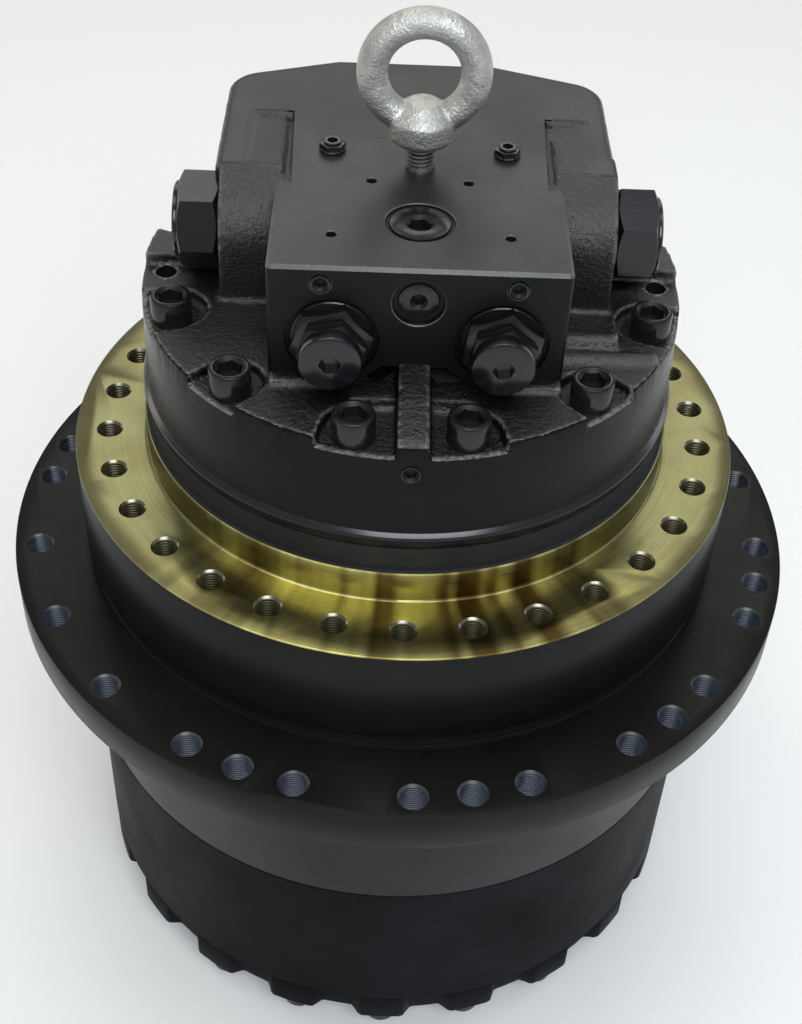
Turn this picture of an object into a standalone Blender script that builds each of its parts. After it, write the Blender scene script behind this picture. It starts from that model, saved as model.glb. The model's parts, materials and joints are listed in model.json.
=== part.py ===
# Final drive of an excavator: travel motor with its port block, spindle, hub and two-stage
# planetary gearbox, standing upright on its end cover.
# Metres, +Z up.  The gearbox axis is the Z axis and the lowest face lies at zero height.
# The face of the port block with the relief valves looks towards -Y.
import math
from collections import namedtuple

import bmesh
import bpy
from mathutils import Matrix

GAP = 0.0003            # clearance between pieces that touch in the real drive
OVERCUT = 0.010         # how far a cutting tool runs past the face that it opens
LAP = 0.002             # how far joined shapes of one casting reach into each other
HOLE_SPARE = 0.001      # how much deeper a blind hole is than what is screwed into it
ROUND_STEPS = 32        # facets round the large turned pieces
INNER_STEPS = 20        # facets round turned pieces inside the drive
SMALL_STEPS = 12        # facets round pins, plugs and valves
BOLT_STEPS = 8          # facets round screw heads
HOLE_STEPS = 6          # facets round threaded holes
EYE_STEPS = 16          # facets round the lifting eye
SMOOTH_ANGLE = math.radians(32)

# Gears: the ring gear is shared by both stages.
MODULE = 0.008
PRESSURE_ANGLE = math.radians(25)
BACKLASH = 0.0004
ADDENDUM = 1.0 * MODULE
DEDENDUM = 1.25 * MODULE
RING_TEETH = 42
FIRST_SUN_TEETH = 12
SECOND_SUN_TEETH = 12
FIRST_PLANET_TEETH = (RING_TEETH - FIRST_SUN_TEETH) // 2
SECOND_PLANET_TEETH = (RING_TEETH - SECOND_SUN_TEETH) // 2
PLANETS = 3
FIRST_ORBIT = MODULE * (FIRST_SUN_TEETH + FIRST_PLANET_TEETH) / 2
SECOND_ORBIT = MODULE * (SECOND_SUN_TEETH + SECOND_PLANET_TEETH) / 2
PLANET_START = math.radians(-90)

# Heights of the outer pieces, stacked upward from the rim of the end cover.
COVER_RIM_Z = 0.024
COVER_RIM_H = 0.024
RING_H = 0.127
RING_STEP_H = 0.114
DRUM_H = 0.111
SPROCKET_H = 0.028
COLLAR_H = 0.0096
SEAL_SLIT = 0.0034
FRAME_H = 0.068
PILOT_H = 0.0205
NECK_H = 0.0175
CASE_H = 0.071
PORT_BLOCK_H = 0.073
RING_BOTTOM_Z = COVER_RIM_Z + COVER_RIM_H
RING_STEP_Z = RING_BOTTOM_Z + RING_STEP_H
HUB_BOTTOM_Z = RING_BOTTOM_Z + RING_H
SPROCKET_BOTTOM_Z = HUB_BOTTOM_Z + DRUM_H
SPROCKET_TOP_Z = SPROCKET_BOTTOM_Z + SPROCKET_H
HUB_TOP_Z = SPROCKET_TOP_Z + COLLAR_H
FRAME_BOTTOM_Z = HUB_TOP_Z + SEAL_SLIT
FRAME_FACE_Z = FRAME_BOTTOM_Z + FRAME_H
PILOT_TOP_Z = FRAME_FACE_Z + PILOT_H
JOINT_Z = PILOT_TOP_Z + NECK_H
DECK_Z = JOINT_Z + CASE_H
TOP_Z = DECK_Z + PORT_BLOCK_H

# Radii of the hub and housing.  The ring gear sets the drum, and walls lead inward from it.
RING_WALL = 0.0394
HUB_WALL = 0.0414
BEARING_T = 0.026
MOTOR_WALL = 0.035
RING_STEP_IN = 0.0006   # the ring gear and the end cover are this much slimmer than the hub
DRUM_R = MODULE * RING_TEETH / 2 + DEDENDUM + RING_WALL
BEARING_SEAT_R = DRUM_R - HUB_WALL
SNOUT_R = BEARING_SEAT_R - BEARING_T
MOTOR_R = SNOUT_R - MOTOR_WALL

# Floating seal between spindle and hub.
SEAL_SET_IN = 0.001
SEAL_SLACK = 0.005
SEAL_RING_T = 0.010
SEAL_POCKET_WALL = 0.003
SEAL_FLOOR_DEPTH = 0.008
SEAL_ROOF_DEPTH = 0.016
SEAL_CORE_L = 0.005
SEAL_HALF_H = 0.0103
SEAL_CORE_R = BEARING_SEAT_R - SEAL_SET_IN
SEAL_CORE_Z = FRAME_BOTTOM_Z - SEAL_CORE_L
SEAL_INNER_R = SEAL_CORE_R + SEAL_SLACK
SEAL_OUTER_R = SEAL_INNER_R + SEAL_RING_T
SEAL_POCKET_R = SEAL_OUTER_R + SEAL_POCKET_WALL
SEAL_FLOOR_Z = SPROCKET_TOP_Z - SEAL_FLOOR_DEPTH
SEAL_MEETING_Z = SEAL_FLOOR_Z + SEAL_HALF_H
SEAL_ROOF_Z = FRAME_BOTTOM_Z + SEAL_ROOF_DEPTH

# Flanges: each is as wide as its holes and the metal beside them need.
FRAME_LIP = 0.0184
FRAME_SHELF = 0.0454
FRAME_HOLE_SET_OUT = 0.024
FRAME_HOLES = 30
FRAME_HOLE_R = 0.0076
FRAME_HOLE_DEPTH = 0.030
FRAME_R = SEAL_POCKET_R + FRAME_LIP
PILOT_R = FRAME_R - FRAME_SHELF
FRAME_HOLE_ORBIT = PILOT_R + FRAME_HOLE_SET_OUT
PILOT_EDGE = 0.001
NECK_SET_IN = 0.003
NECK_R = PILOT_R - NECK_SET_IN
SPROCKET_HOLE_SET_OUT = 0.0261
SPROCKET_RIM = 0.0156
SPROCKET_HOLE_ORBIT = DRUM_R + SPROCKET_HOLE_SET_OUT
SPROCKET_R = SPROCKET_HOLE_ORBIT + SPROCKET_RIM
SPROCKET_HOLE_R = 0.0092
SPROCKET_GRID = 44      # the bolt circle is divided in this many places
SPROCKET_PHASE = math.radians(-120.6)
SPROCKET_PLACES = (-20, -18, -16, -14, -12, -10, -9, -8, -6, -4, -2, 0, 1, 2, 4, 5, 6,
                   8, 9, 10, 12, 13, 14, 16, 17, 18, 20, 21, 22)
COLLAR_WALL = 0.0165
COLLAR_FOOT_R = SEAL_POCKET_R + COLLAR_WALL
COLLAR_TAPER = 0.0038

# Snout of the spindle with its two bearings and their nut.
SNOUT_REACH = 0.015     # the snout stops this far above the ring gear
SNOUT_END_Z = HUB_BOTTOM_Z + SNOUT_REACH
NUT_H = 0.012
NUT_WALL = 0.016
BEARING_W = 0.033
BEARING_SPACE = 0.027
RACE_T = 0.012
RACE_TAPER = 0.0020
ROLLER_SLIT = 0.001
BEARING_SHOULDER = 0.008
SPACER_T = 0.007
SPACER_R = SNOUT_R + SPACER_T
LOWER_BEARING_Z = SNOUT_END_Z + NUT_H
UPPER_BEARING_Z = LOWER_BEARING_Z + BEARING_W + BEARING_SPACE

# Travel motor inside the spindle.
SHAFT_R = 0.022
SHAFT_SLIT = 0.012
SHAFT_BORE_R = SHAFT_R + SHAFT_SLIT
MOTOR_FLOOR_T = 0.055
MOTOR_FLOOR_Z = SNOUT_END_Z + MOTOR_FLOOR_T
SPIGOT_L = 0.029
SPIGOT_Z = JOINT_Z - SPIGOT_L
CYLINDERS_SLACK = 0.033
CYLINDERS_R = MOTOR_R - CYLINDERS_SLACK
VALVE_PLATE_T = 0.010
CYLINDERS_TOP_Z = SPIGOT_Z - VALVE_PLATE_T
CYLINDERS_L = 0.094
PISTONS = 9
PISTON_SET_IN = 0.024
PISTON_ORBIT = CYLINDERS_R - PISTON_SET_IN
PISTON_R = 0.009
SWASH_T = 0.016
SWASH_SLACK = 0.020
SWASH_SLIT = 0.018
SWASH_BORE_R = SHAFT_R + SWASH_SLIT
SWASH_R = MOTOR_R - SWASH_SLACK
VALVE_PLATE_SLIT = 0.008
VALVE_PLATE_SET_IN = 0.004
VALVE_PLATE_BORE_R = SHAFT_R + VALVE_PLATE_SLIT
VALVE_PLATE_R = CYLINDERS_R - VALVE_PLATE_SET_IN

# Gear stages, stacked downward from the end of the snout.
GEAR_SPACE = 0.003
TOP_PLATE_T = 0.0212
SECOND_GEAR_W = 0.048
LOW_PLATE_T = 0.0105
FIRST_PLATE_T = 0.0115
FIRST_GEAR_W = 0.028
TOP_PLATE_Z = SNOUT_END_Z - GAP - TOP_PLATE_T
SECOND_GEAR_Z = TOP_PLATE_Z - GEAR_SPACE - SECOND_GEAR_W
LOW_PLATE_Z = SECOND_GEAR_Z - GEAR_SPACE - LOW_PLATE_T
FIRST_PLATE_Z = LOW_PLATE_Z - GEAR_SPACE - FIRST_PLATE_T
FIRST_GEAR_Z = FIRST_PLATE_Z - GEAR_SPACE - FIRST_GEAR_W
CARRIER_SLACK = 0.012
FIRST_CARRIER_SET_IN = 0.018
CARRIER_R = MODULE * RING_TEETH / 2 - ADDENDUM - CARRIER_SLACK
FIRST_CARRIER_R = CARRIER_R - FIRST_CARRIER_SET_IN
SECOND_PIN_R = 0.017
FIRST_PIN_R = 0.018
PIN_SINK = 0.001
SUN_NECK_SET_IN = 0.002
SUN_SLIT = 0.005
FIRST_CARRIER_SLIT = 0.008
LOW_PLATE_SLIT = 0.014
SUN_NECK_R = MODULE * SECOND_SUN_TEETH / 2 - DEDENDUM - SUN_NECK_SET_IN
SUN_BORE_R = SHAFT_R + SUN_SLIT
FIRST_CARRIER_BORE_R = SHAFT_R + FIRST_CARRIER_SLIT
TOP_PLATE_BORE_R = SHAFT_R + SHAFT_SLIT
LOW_PLATE_BORE_R = SUN_NECK_R + LOW_PLATE_SLIT
WEB_T = 0.048
WEB_SET_IN = 0.012
WEB_OUTER_X = CARRIER_R - WEB_SET_IN
WEB_INNER_X = WEB_OUTER_X - WEB_T
WEB_HALF_W = 0.026
SHAFT_END = 0.001
SHAFT_CHAMFER = 0.004

# End cover.
COVER_LOBES = 21
COVER_PHASE = math.radians(-90.6)
LOBE_R = DRUM_R - RING_STEP_IN
SCALLOP_DEPTH = 0.0076
LOBE_HALF = math.radians(4.0)
SCALLOP_HALF = math.radians(5.4)
COVER_BOLT_SET_IN = 0.0168
COVER_BOLT_ORBIT = LOBE_R - COVER_BOLT_SET_IN
COVER_HEAD_R = 0.012
DISH_Z = 0.010
DISH_EDGE_SET_IN = 0.017
DISH_SLOPE = 0.017
DISH_EDGE_R = COVER_BOLT_ORBIT - DISH_EDGE_SET_IN
DISH_R = DISH_EDGE_R - DISH_SLOPE
COVER_BOSS_R = 0.060
COVER_BOSS_EDGE = 0.004
HOLLOW_R = MODULE * RING_TEETH / 2 - ADDENDUM
HOLLOW_DEPTH = 0.008
BUTTON_R = 0.018
BUTTON_SINK = 0.010
COVER_PLUG_ORBIT = 0.112

# Rear cover and port block, seen with the valves in front.
CASE_BULGE = 0.0024
CASE_FOOT_R = NECK_R + CASE_BULGE
CASE_TAPER = 0.0037
CASE_EDGE = 0.001
BULGE_LOW = 0.004
BULGE_MID = 0.012
BULGE_HIGH = 0.021
SHOULDER_H = 0.0075     # behind the case ports the deck is this much higher
SHOULDER_Y = 0.006
BLOCK_ROOT = 0.020      # the port block reaches this far down into the casing
BLOCK_MID_X = 0.0018    # the port block's middle lies a little to the right of the axis
BLOCK_HALF_W = 0.0818
BLOCK_FRONT_Y = -0.102
BLOCK_REAR_Y = 0.138
BLOCK_REAR_X = 0.050
BLOCK_LEFT_X = BLOCK_MID_X - BLOCK_HALF_W
BLOCK_RIGHT_X = BLOCK_MID_X + BLOCK_HALF_W
TOP_EDGE = 0.0020
FRONT_EDGE = 0.0030
EAR_X = 0.1165
EAR_FRONT_Y = 0.004
EAR_CORNER_Y = 0.1135
EAR_ROUND = 0.016
SLOT_SET_IN = 0.003     # slots part the ears from the block
SLOT_W = 0.0065
SLOT_DEPTH = 0.010
SLOT_FRONT_Y = -0.0165
SLOT_REAR_Y = 0.067
BOSS_REACH = 0.115
BOSS_R = 0.030
SPOT_R = 0.031          # spot face that seats a counterbalance cap
BOSS_DEPTH = 0.037
BOSS_Z = TOP_Z - BOSS_DEPTH
LEDGE_LEFT_X = -0.043
LEDGE_RIGHT_X = 0.046
LEDGE_OUT = 0.0075
LEDGE_H = 0.004
RIB_LEFT_X = -0.0075
RIB_RIGHT_X = 0.0100
RIB_SET_IN = 0.003
RIB_FLAT = 0.030
RIB_FRONT_Y = RIB_SET_IN - NECK_R
RIB_BEND_Y = RIB_FRONT_Y + RIB_FLAT
RIB_H = 0.017
RIB_ROOT = 0.012
ARCH_LEFT_X = -0.028
ARCH_RIGHT_X = 0.030
ARCH_SLOPE = 0.011
ARCH_H = 0.010
ARCH_DEPTH = 0.014
SEAT_DEPTH = 0.007
SEAT_Z = DECK_Z - SEAT_DEPTH
POCKET_R = 0.0185
POCKET_REACH = 0.012
POCKET_REACH_Z = DECK_Z + POCKET_REACH
ROOM_LEFT_X = -0.034
ROOM_RIGHT_X = 0.036
ROOM_L = 0.041
ROOM_REAR_Y = RIB_FRONT_Y + ROOM_L

# Screws, plugs and caps.  A plug's head stands on its seat and its shank reaches below it.
Plug = namedtuple("Plug", "head_r head_h shank_r shank_l socket_af socket_depth")
SCREW = Plug(0.012, 0.016, 0.008, 0.030, 0.014, 0.008)
COVER_PLUG = Plug(0.015, 0.006, 0.010, 0.012, 0.010, 0.005)
PORT_PLUG = Plug(0.0078, 0.0060, 0.0055, 0.0120, 0.006, 0.005)
TOP_PLUG = Plug(0.0170, 0.0, 0.0170, 0.0130, 0.012, 0.008)
FRONT_PLUG = Plug(0.0110, 0.0010, 0.0110, 0.0100, 0.006, 0.005)
SMALL_PLUG = Plug(0.0055, 0.0010, 0.0055, 0.0070, 0.005, 0.004)
SCREW_SET_IN = 0.017
SCREW_ORBIT = NECK_R - SCREW_SET_IN
SCREW_ANGLES = (-102.25, -77.75, -133.5, -46.5, -164.5, -15.5, 160.5, 19.5)
PORT_PLUG_REACH = 0.051
PORT_PLUG_X = (BLOCK_MID_X - PORT_PLUG_REACH, BLOCK_MID_X + PORT_PLUG_REACH)
PORT_PLUG_Y = 0.0215
TOP_PLUG_Y = -0.0545
TOP_GROOVE = 0.0025
TOP_RECESS_R = TOP_PLUG.head_r + TOP_GROOVE
TOP_RECESS = 0.0016
FACE_RECESS = 0.003
FRONT_PLUG_DROP = 0.021
FRONT_PLUG_Z = TOP_Z - FRONT_PLUG_DROP
FRONT_GROOVE = 0.0035
FRONT_RECESS_R = FRONT_PLUG.head_r + FRONT_GROOVE
GAUGE_PLUG_REACH = 0.0527
GAUGE_PLUG_X = (BLOCK_MID_X - GAUGE_PLUG_REACH, BLOCK_MID_X + GAUGE_PLUG_REACH)
GAUGE_PLUG_DROP = 0.0105
GAUGE_PLUG_Z = TOP_Z - GAUGE_PLUG_DROP
SIDE_PLUG_X = 0.0005
SIDE_PLUG_DROP = 0.017
SIDE_PLUG_Z = DECK_Z - SIDE_PLUG_DROP
CASE_PORT_SET_IN = 0.015
CASE_PORT_X = (CASE_PORT_SET_IN - NECK_R, NECK_R - CASE_PORT_SET_IN)
CASE_PORT_Y = -0.002
CASE_PORT_R = 0.0063
CASE_PORT_DEPTH = 0.016
SIDE_PORT_R = 0.017
SIDE_PORT_DEPTH = 0.026
SIDE_PORT_Y = 0.070
SIDE_PORT_DROP = 0.027
SIDE_PORT_Z = TOP_Z - SIDE_PORT_DROP
VALVE_REACH = 0.0465
VALVE_X = (BLOCK_MID_X - VALVE_REACH, BLOCK_MID_X + VALVE_REACH)
VALVE_DROP = 0.046
VALVE_Z = TOP_Z - VALVE_DROP
VALVE_TURN = (12, 20)
VALVE_RECESS_R = 0.026
VALVE_HEX = 0.041
VALVE_HEX_H = 0.010
VALVE_STEM_R = 0.016
VALVE_STEM_L = 0.016
CAP_HEX = 0.034
CAP_HEX_H = 0.008
KNOB_R = 0.0174
KNOB_H = 0.016
KNOB_EDGE = 0.001
KNOB_SOCKET = 0.012
KNOB_SOCKET_DEPTH = 0.006
BALANCE_HEX = 0.050
BALANCE_HEX_H = 0.024
BALANCE_TURN = (22, -6)
BALANCE_DISC_R = 0.0225
BALANCE_DISC_H = 0.0025
BALANCE_STEM_R = 0.018
BALANCE_STEM_L = 0.018

# Lifting eye.
EYE_Y = 0.0050
EYE_RING_R = 0.0290
EYE_WIRE_R = 0.0087
EYE_CENTRE_H = 0.0400
EYE_COLLAR_R = 0.0187
EYE_COLLAR_EDGE = 0.0035
EYE_COLLAR_SIDE_H = 0.0140
EYE_COLLAR_H = 0.0240
EYE_THREAD_R = 0.0085
EYE_THREAD_SHOWN = 0.0185
EYE_THREAD_L = 0.0190

FINISHES = {
    "black_paint": ((0.012, 0.012, 0.014), 0.0, 0.35),
    "machined": ((0.42, 0.38, 0.20), 1.0, 0.30),
    "steel": ((0.55, 0.55, 0.56), 1.0, 0.32),
    "gear_steel": ((0.40, 0.40, 0.42), 1.0, 0.28),
    "zinc": ((0.72, 0.73, 0.74), 1.0, 0.40),
    "cast_iron": ((0.10, 0.10, 0.11), 0.6, 0.55),
    "bronze": ((0.55, 0.36, 0.16), 1.0, 0.35),
}


def new_object(name, mesh):
    obj = bpy.data.objects.new(name, mesh)
    bpy.context.scene.collection.objects.link(obj)
    return obj


def from_bmesh(name, bm):
    """Close a working mesh into an object with its faces turned outward."""
    bmesh.ops.remove_doubles(bm, verts=bm.verts, dist=0.000001)
    bmesh.ops.recalc_face_normals(bm, faces=bm.faces)
    mesh = bpy.data.meshes.new(name)
    bm.to_mesh(mesh)
    bm.free()
    return new_object(name, mesh)


def lathe(name, outline, steps=INNER_STEPS):
    """Spin (radius, height) points about Z; an outline that starts at radius zero stays open."""
    bm = bmesh.new()
    points = [bm.verts.new((radius, 0.0, height)) for radius, height in outline]
    edges = [bm.edges.new(pair) for pair in zip(points, points[1:])]
    if outline[0][0] > 0.0:
        edges.append(bm.edges.new((points[-1], points[0])))
    bmesh.ops.spin(bm, geom=points + edges, cent=(0, 0, 0), axis=(0, 0, 1), dvec=(0, 0, 0),
                   angle=math.tau, steps=steps, use_merge=True, use_duplicate=False)
    return from_bmesh(name, bm)


def ring(name, inner, outer, low, high, steps=INNER_STEPS):
    return lathe(name, [(inner, low), (outer, low), (outer, high), (inner, high)], steps)


def prism(name, outline, low, high):
    """Extrude a flat (x, y) outline between two heights."""
    bm = bmesh.new()
    face = bm.faces.new([bm.verts.new((x, y, low)) for x, y in outline])
    raised = bmesh.ops.extrude_face_region(bm, geom=[face])
    moved = [item for item in raised["geom"] if isinstance(item, bmesh.types.BMVert)]
    bmesh.ops.translate(bm, verts=moved, vec=(0, 0, high - low))
    return from_bmesh(name, bm)


def circle(radius, steps, centre=(0.0, 0.0), start=0.0):
    turn = math.tau / steps
    return [(centre[0] + radius * math.cos(start + turn * i),
             centre[1] + radius * math.sin(start + turn * i)) for i in range(steps)]


def rod(name, radius, low, high, steps=SMALL_STEPS, centre=(0.0, 0.0)):
    return prism(name, circle(radius, steps, centre), low, high)


def box(name, x_range, y_range, z_range):
    corners = [(x_range[0], y_range[0]), (x_range[1], y_range[0]),
               (x_range[1], y_range[1]), (x_range[0], y_range[1])]
    return prism(name, corners, z_range[0], z_range[1])


def transform(obj, matrix):
    """Move the mesh itself, so that the object keeps its origin."""
    obj.data.transform(matrix)
    return obj


def lay_along_x(obj):
    return transform(obj, Matrix.Rotation(math.radians(90), 4, "Y"))


def lay_along_minus_y(obj):
    return transform(obj, Matrix.Rotation(math.radians(90), 4, "X"))


def boolean(body, tool, operation):
    modifier = body.modifiers.new("shape", "BOOLEAN")
    modifier.operation = operation
    modifier.solver = "EXACT"
    modifier.object = tool
    graph = bpy.context.evaluated_depsgraph_get()
    shaped = bpy.data.meshes.new_from_object(body.evaluated_get(graph))
    body.modifiers.clear()
    body.data = shaped
    bpy.data.objects.remove(tool)
    merge_flat_faces(shaped)


def merge_flat_faces(mesh):
    """Drop the edges that a cut leaves inside one flat face."""
    bm = bmesh.new()
    bm.from_mesh(mesh)
    bmesh.ops.dissolve_limit(bm, angle_limit=math.radians(0.05), verts=bm.verts, edges=bm.edges,
                             use_dissolve_boundaries=False)
    bm.to_mesh(mesh)
    bm.free()


def joined(tools):
    """Gather tools that do not touch each other into one mesh."""
    bm = bmesh.new()
    for tool in tools:
        bm.from_mesh(tool.data)
        bpy.data.objects.remove(tool)
    mesh = bpy.data.meshes.new("tools")
    bm.to_mesh(mesh)
    bm.free()
    return new_object("tools", mesh)


def carve(body, tools):
    boolean(body, joined(tools), "DIFFERENCE")
    return body


def fuse(body, tools):
    for tool in tools:
        boolean(body, tool, "UNION")
    return body


def around(radius, angle):
    return (radius * math.cos(angle), radius * math.sin(angle))


def hex_outline(across_flats, turn=0.0):
    return circle(across_flats / math.sqrt(3), 6, start=turn)


def loose_bore(radius, steps):
    """Radius of a faceted bore whose flats clear a round piece of the given radius."""
    return (radius + GAP) / math.cos(math.pi / steps)


def bevel_edges(obj, wanted, width, segments=1):
    """Chamfer or round the edges that the test picks."""
    bm = bmesh.new()
    bm.from_mesh(obj.data)
    edges = [edge for edge in bm.edges if wanted(edge)]
    bmesh.ops.bevel(bm, geom=edges, offset=width, offset_type="OFFSET", segments=segments,
                    profile=0.5, affect="EDGES", clamp_overlap=True)
    bm.to_mesh(obj.data)
    bm.free()


def involute(angle):
    return math.tan(angle) - angle


def half_tooth(teeth, radius, widening=0.0):
    """Half the angle a tooth spans at a radius; below the base circle it stays constant."""
    pitch_r = MODULE * teeth / 2
    base_r = pitch_r * math.cos(PRESSURE_ANGLE)
    local = math.acos(min(1.0, base_r / radius))
    return math.pi / (2 * teeth) + widening / pitch_r + involute(PRESSURE_ANGLE) - involute(local)


def gear_outline(teeth, phase, radii, widening):
    """Run up one flank of each tooth and down the other, through the same radii."""
    points = []
    for tooth in range(teeth):
        middle = phase + math.tau * tooth / teeth
        for radius in radii:
            points.append(around(radius, middle - half_tooth(teeth, radius, widening)))
        for radius in reversed(radii):
            points.append(around(radius, middle + half_tooth(teeth, radius, widening)))
    return points


def outer_gear(name, teeth, phase, low, width):
    pitch_r = MODULE * teeth / 2
    radii = (pitch_r - DEDENDUM, pitch_r, pitch_r + ADDENDUM)
    outline = gear_outline(teeth, phase, radii, -BACKLASH / 4)
    return prism(name, outline, low, low + width)


def planet_phase_from_sun(sun_teeth, planet_teeth, sun_phase, direction):
    return direction + math.pi + math.pi / planet_teeth - (
        sun_phase - direction) * sun_teeth / planet_teeth


def ring_phase_from_planet(planet_teeth, planet_phase, direction):
    return direction + (planet_phase - direction) * planet_teeth / RING_TEETH


def planet_phase_from_ring(planet_teeth, ring_phase, direction):
    return direction + (ring_phase - direction) * RING_TEETH / planet_teeth


def sun_phase_from_planet(sun_teeth, planet_teeth, planet_phase, direction):
    return direction + (direction + math.pi - planet_phase) * planet_teeth / sun_teeth - (
        math.pi / sun_teeth)


def planet_directions():
    return [PLANET_START + math.tau * i / PLANETS for i in range(PLANETS)]


def finish(obj, kind):
    """Give the piece its own material and shade its round faces smooth."""
    colour, metallic, roughness = FINISHES[kind]
    material = bpy.data.materials.new(obj.name + "_finish")
    material.use_nodes = True
    shader = material.node_tree.nodes["Principled BSDF"]
    shader.inputs["Base Color"].default_value = (*colour, 1.0)
    shader.inputs["Metallic"].default_value = metallic
    shader.inputs["Roughness"].default_value = roughness
    obj.data.materials.clear()
    obj.data.materials.append(material)
    obj.data.name = obj.name
    obj.data.shade_smooth()
    obj.data.set_sharp_from_angle(angle=SMOOTH_ANGLE)
    return obj


def spindle():
    """Frame flange, pilot and motor case in one piece with the bearing snout."""
    shoulder_z = UPPER_BEARING_Z + BEARING_W
    body = lathe("spindle_housing", [
        (MOTOR_R, JOINT_Z), (MOTOR_R, MOTOR_FLOOR_Z), (SHAFT_BORE_R, MOTOR_FLOOR_Z),
        (SHAFT_BORE_R, SNOUT_END_Z), (SNOUT_R, SNOUT_END_Z), (SNOUT_R, shoulder_z),
        (SPACER_R, shoulder_z), (SPACER_R, SEAL_CORE_Z), (SEAL_CORE_R, SEAL_CORE_Z),
        (SEAL_CORE_R, SEAL_ROOF_Z), (SEAL_POCKET_R, SEAL_ROOF_Z),
        (SEAL_POCKET_R, FRAME_BOTTOM_Z), (FRAME_R, FRAME_BOTTOM_Z), (FRAME_R, FRAME_FACE_Z),
        (PILOT_R, FRAME_FACE_Z), (PILOT_R, PILOT_TOP_Z), (NECK_R, PILOT_TOP_Z + PILOT_EDGE),
        (NECK_R, JOINT_Z)], ROUND_STEPS)
    holes = []
    for i in range(FRAME_HOLES):
        place = around(FRAME_HOLE_ORBIT, math.radians(-90) + math.tau * i / FRAME_HOLES)
        holes.append(rod("hole", FRAME_HOLE_R, FRAME_FACE_Z - FRAME_HOLE_DEPTH,
                         FRAME_FACE_Z + OVERCUT, HOLE_STEPS, place))
    finish(carve(body, holes), "machined")


def hub():
    """Turning hub with the sprocket flange and its uneven circle of threaded holes."""
    shoulder_r = BEARING_SEAT_R - BEARING_SHOULDER
    body = lathe("sprocket_hub", [
        (COLLAR_FOOT_R - COLLAR_TAPER, HUB_TOP_Z), (COLLAR_FOOT_R, SPROCKET_TOP_Z),
        (SPROCKET_R, SPROCKET_TOP_Z), (SPROCKET_R, SPROCKET_BOTTOM_Z),
        (DRUM_R, SPROCKET_BOTTOM_Z), (DRUM_R, HUB_BOTTOM_Z), (BEARING_SEAT_R, HUB_BOTTOM_Z),
        (BEARING_SEAT_R, LOWER_BEARING_Z + BEARING_W), (shoulder_r, LOWER_BEARING_Z + BEARING_W),
        (shoulder_r, UPPER_BEARING_Z), (BEARING_SEAT_R, UPPER_BEARING_Z),
        (BEARING_SEAT_R, SEAL_FLOOR_Z), (SEAL_POCKET_R, SEAL_FLOOR_Z),
        (SEAL_POCKET_R, HUB_TOP_Z)], ROUND_STEPS)
    holes = []
    for place in SPROCKET_PLACES:
        centre = around(SPROCKET_HOLE_ORBIT, SPROCKET_PHASE + math.tau * place / SPROCKET_GRID)
        holes.append(rod("hole", SPROCKET_HOLE_R, SPROCKET_BOTTOM_Z - OVERCUT,
                         SPROCKET_TOP_Z + OVERCUT, HOLE_STEPS, centre))
    finish(carve(body, holes), "black_paint")


def bearings_and_seal():
    """Two taper bearings set back to back, their nut, and the two rings of the seal."""
    split_r = SNOUT_R + RACE_T
    for name, base, lift in (("upper", UPPER_BEARING_Z, 1), ("lower", LOWER_BEARING_Z, -1)):
        low = base + GAP
        high = base + BEARING_W - GAP
        lower_r = split_r - RACE_TAPER * lift
        upper_r = split_r + RACE_TAPER * lift
        inner = lathe("bearing_inner_" + name, [
            (SNOUT_R + GAP, low), (lower_r, low), (upper_r, high), (SNOUT_R + GAP, high)],
            ROUND_STEPS)
        finish(inner, "steel")
        outer = lathe("bearing_outer_" + name, [
            (lower_r + ROLLER_SLIT, low), (BEARING_SEAT_R - GAP, low),
            (BEARING_SEAT_R - GAP, high), (upper_r + ROLLER_SLIT, high)], ROUND_STEPS)
        finish(outer, "steel")
    finish(ring("bearing_nut", SNOUT_R + GAP, SNOUT_R + NUT_WALL, SNOUT_END_Z + GAP,
                LOWER_BEARING_Z, ROUND_STEPS), "steel")
    finish(ring("static_seal_ring", SEAL_INNER_R, SEAL_OUTER_R, SEAL_MEETING_Z,
                SEAL_ROOF_Z - GAP), "cast_iron")
    finish(ring("rotating_seal_ring", SEAL_INNER_R, SEAL_OUTER_R, SEAL_FLOOR_Z + GAP,
                SEAL_MEETING_Z - GAP), "cast_iron")


def travel_motor():
    """Swash plate, cylinder block with its pistons, and the valve plate above it."""
    swash_top = MOTOR_FLOOR_Z + SWASH_T
    finish(ring("swash_plate", SWASH_BORE_R, SWASH_R, MOTOR_FLOOR_Z + GAP, swash_top), "steel")
    block = ring("cylinder_block", loose_bore(SHAFT_R, INNER_STEPS), CYLINDERS_R,
                 CYLINDERS_TOP_Z - CYLINDERS_L, CYLINDERS_TOP_Z)
    for i in range(PISTONS):
        piston = rod("piston", PISTON_R, swash_top + GAP, CYLINDERS_TOP_Z - CYLINDERS_L + LAP,
                     HOLE_STEPS, around(PISTON_ORBIT, math.tau * i / PISTONS))
        fuse(block, [piston])
    finish(block, "steel")
    finish(ring("valve_plate", VALVE_PLATE_BORE_R, VALVE_PLATE_R, CYLINDERS_TOP_Z + GAP,
                SPIGOT_Z - GAP), "bronze")


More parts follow.
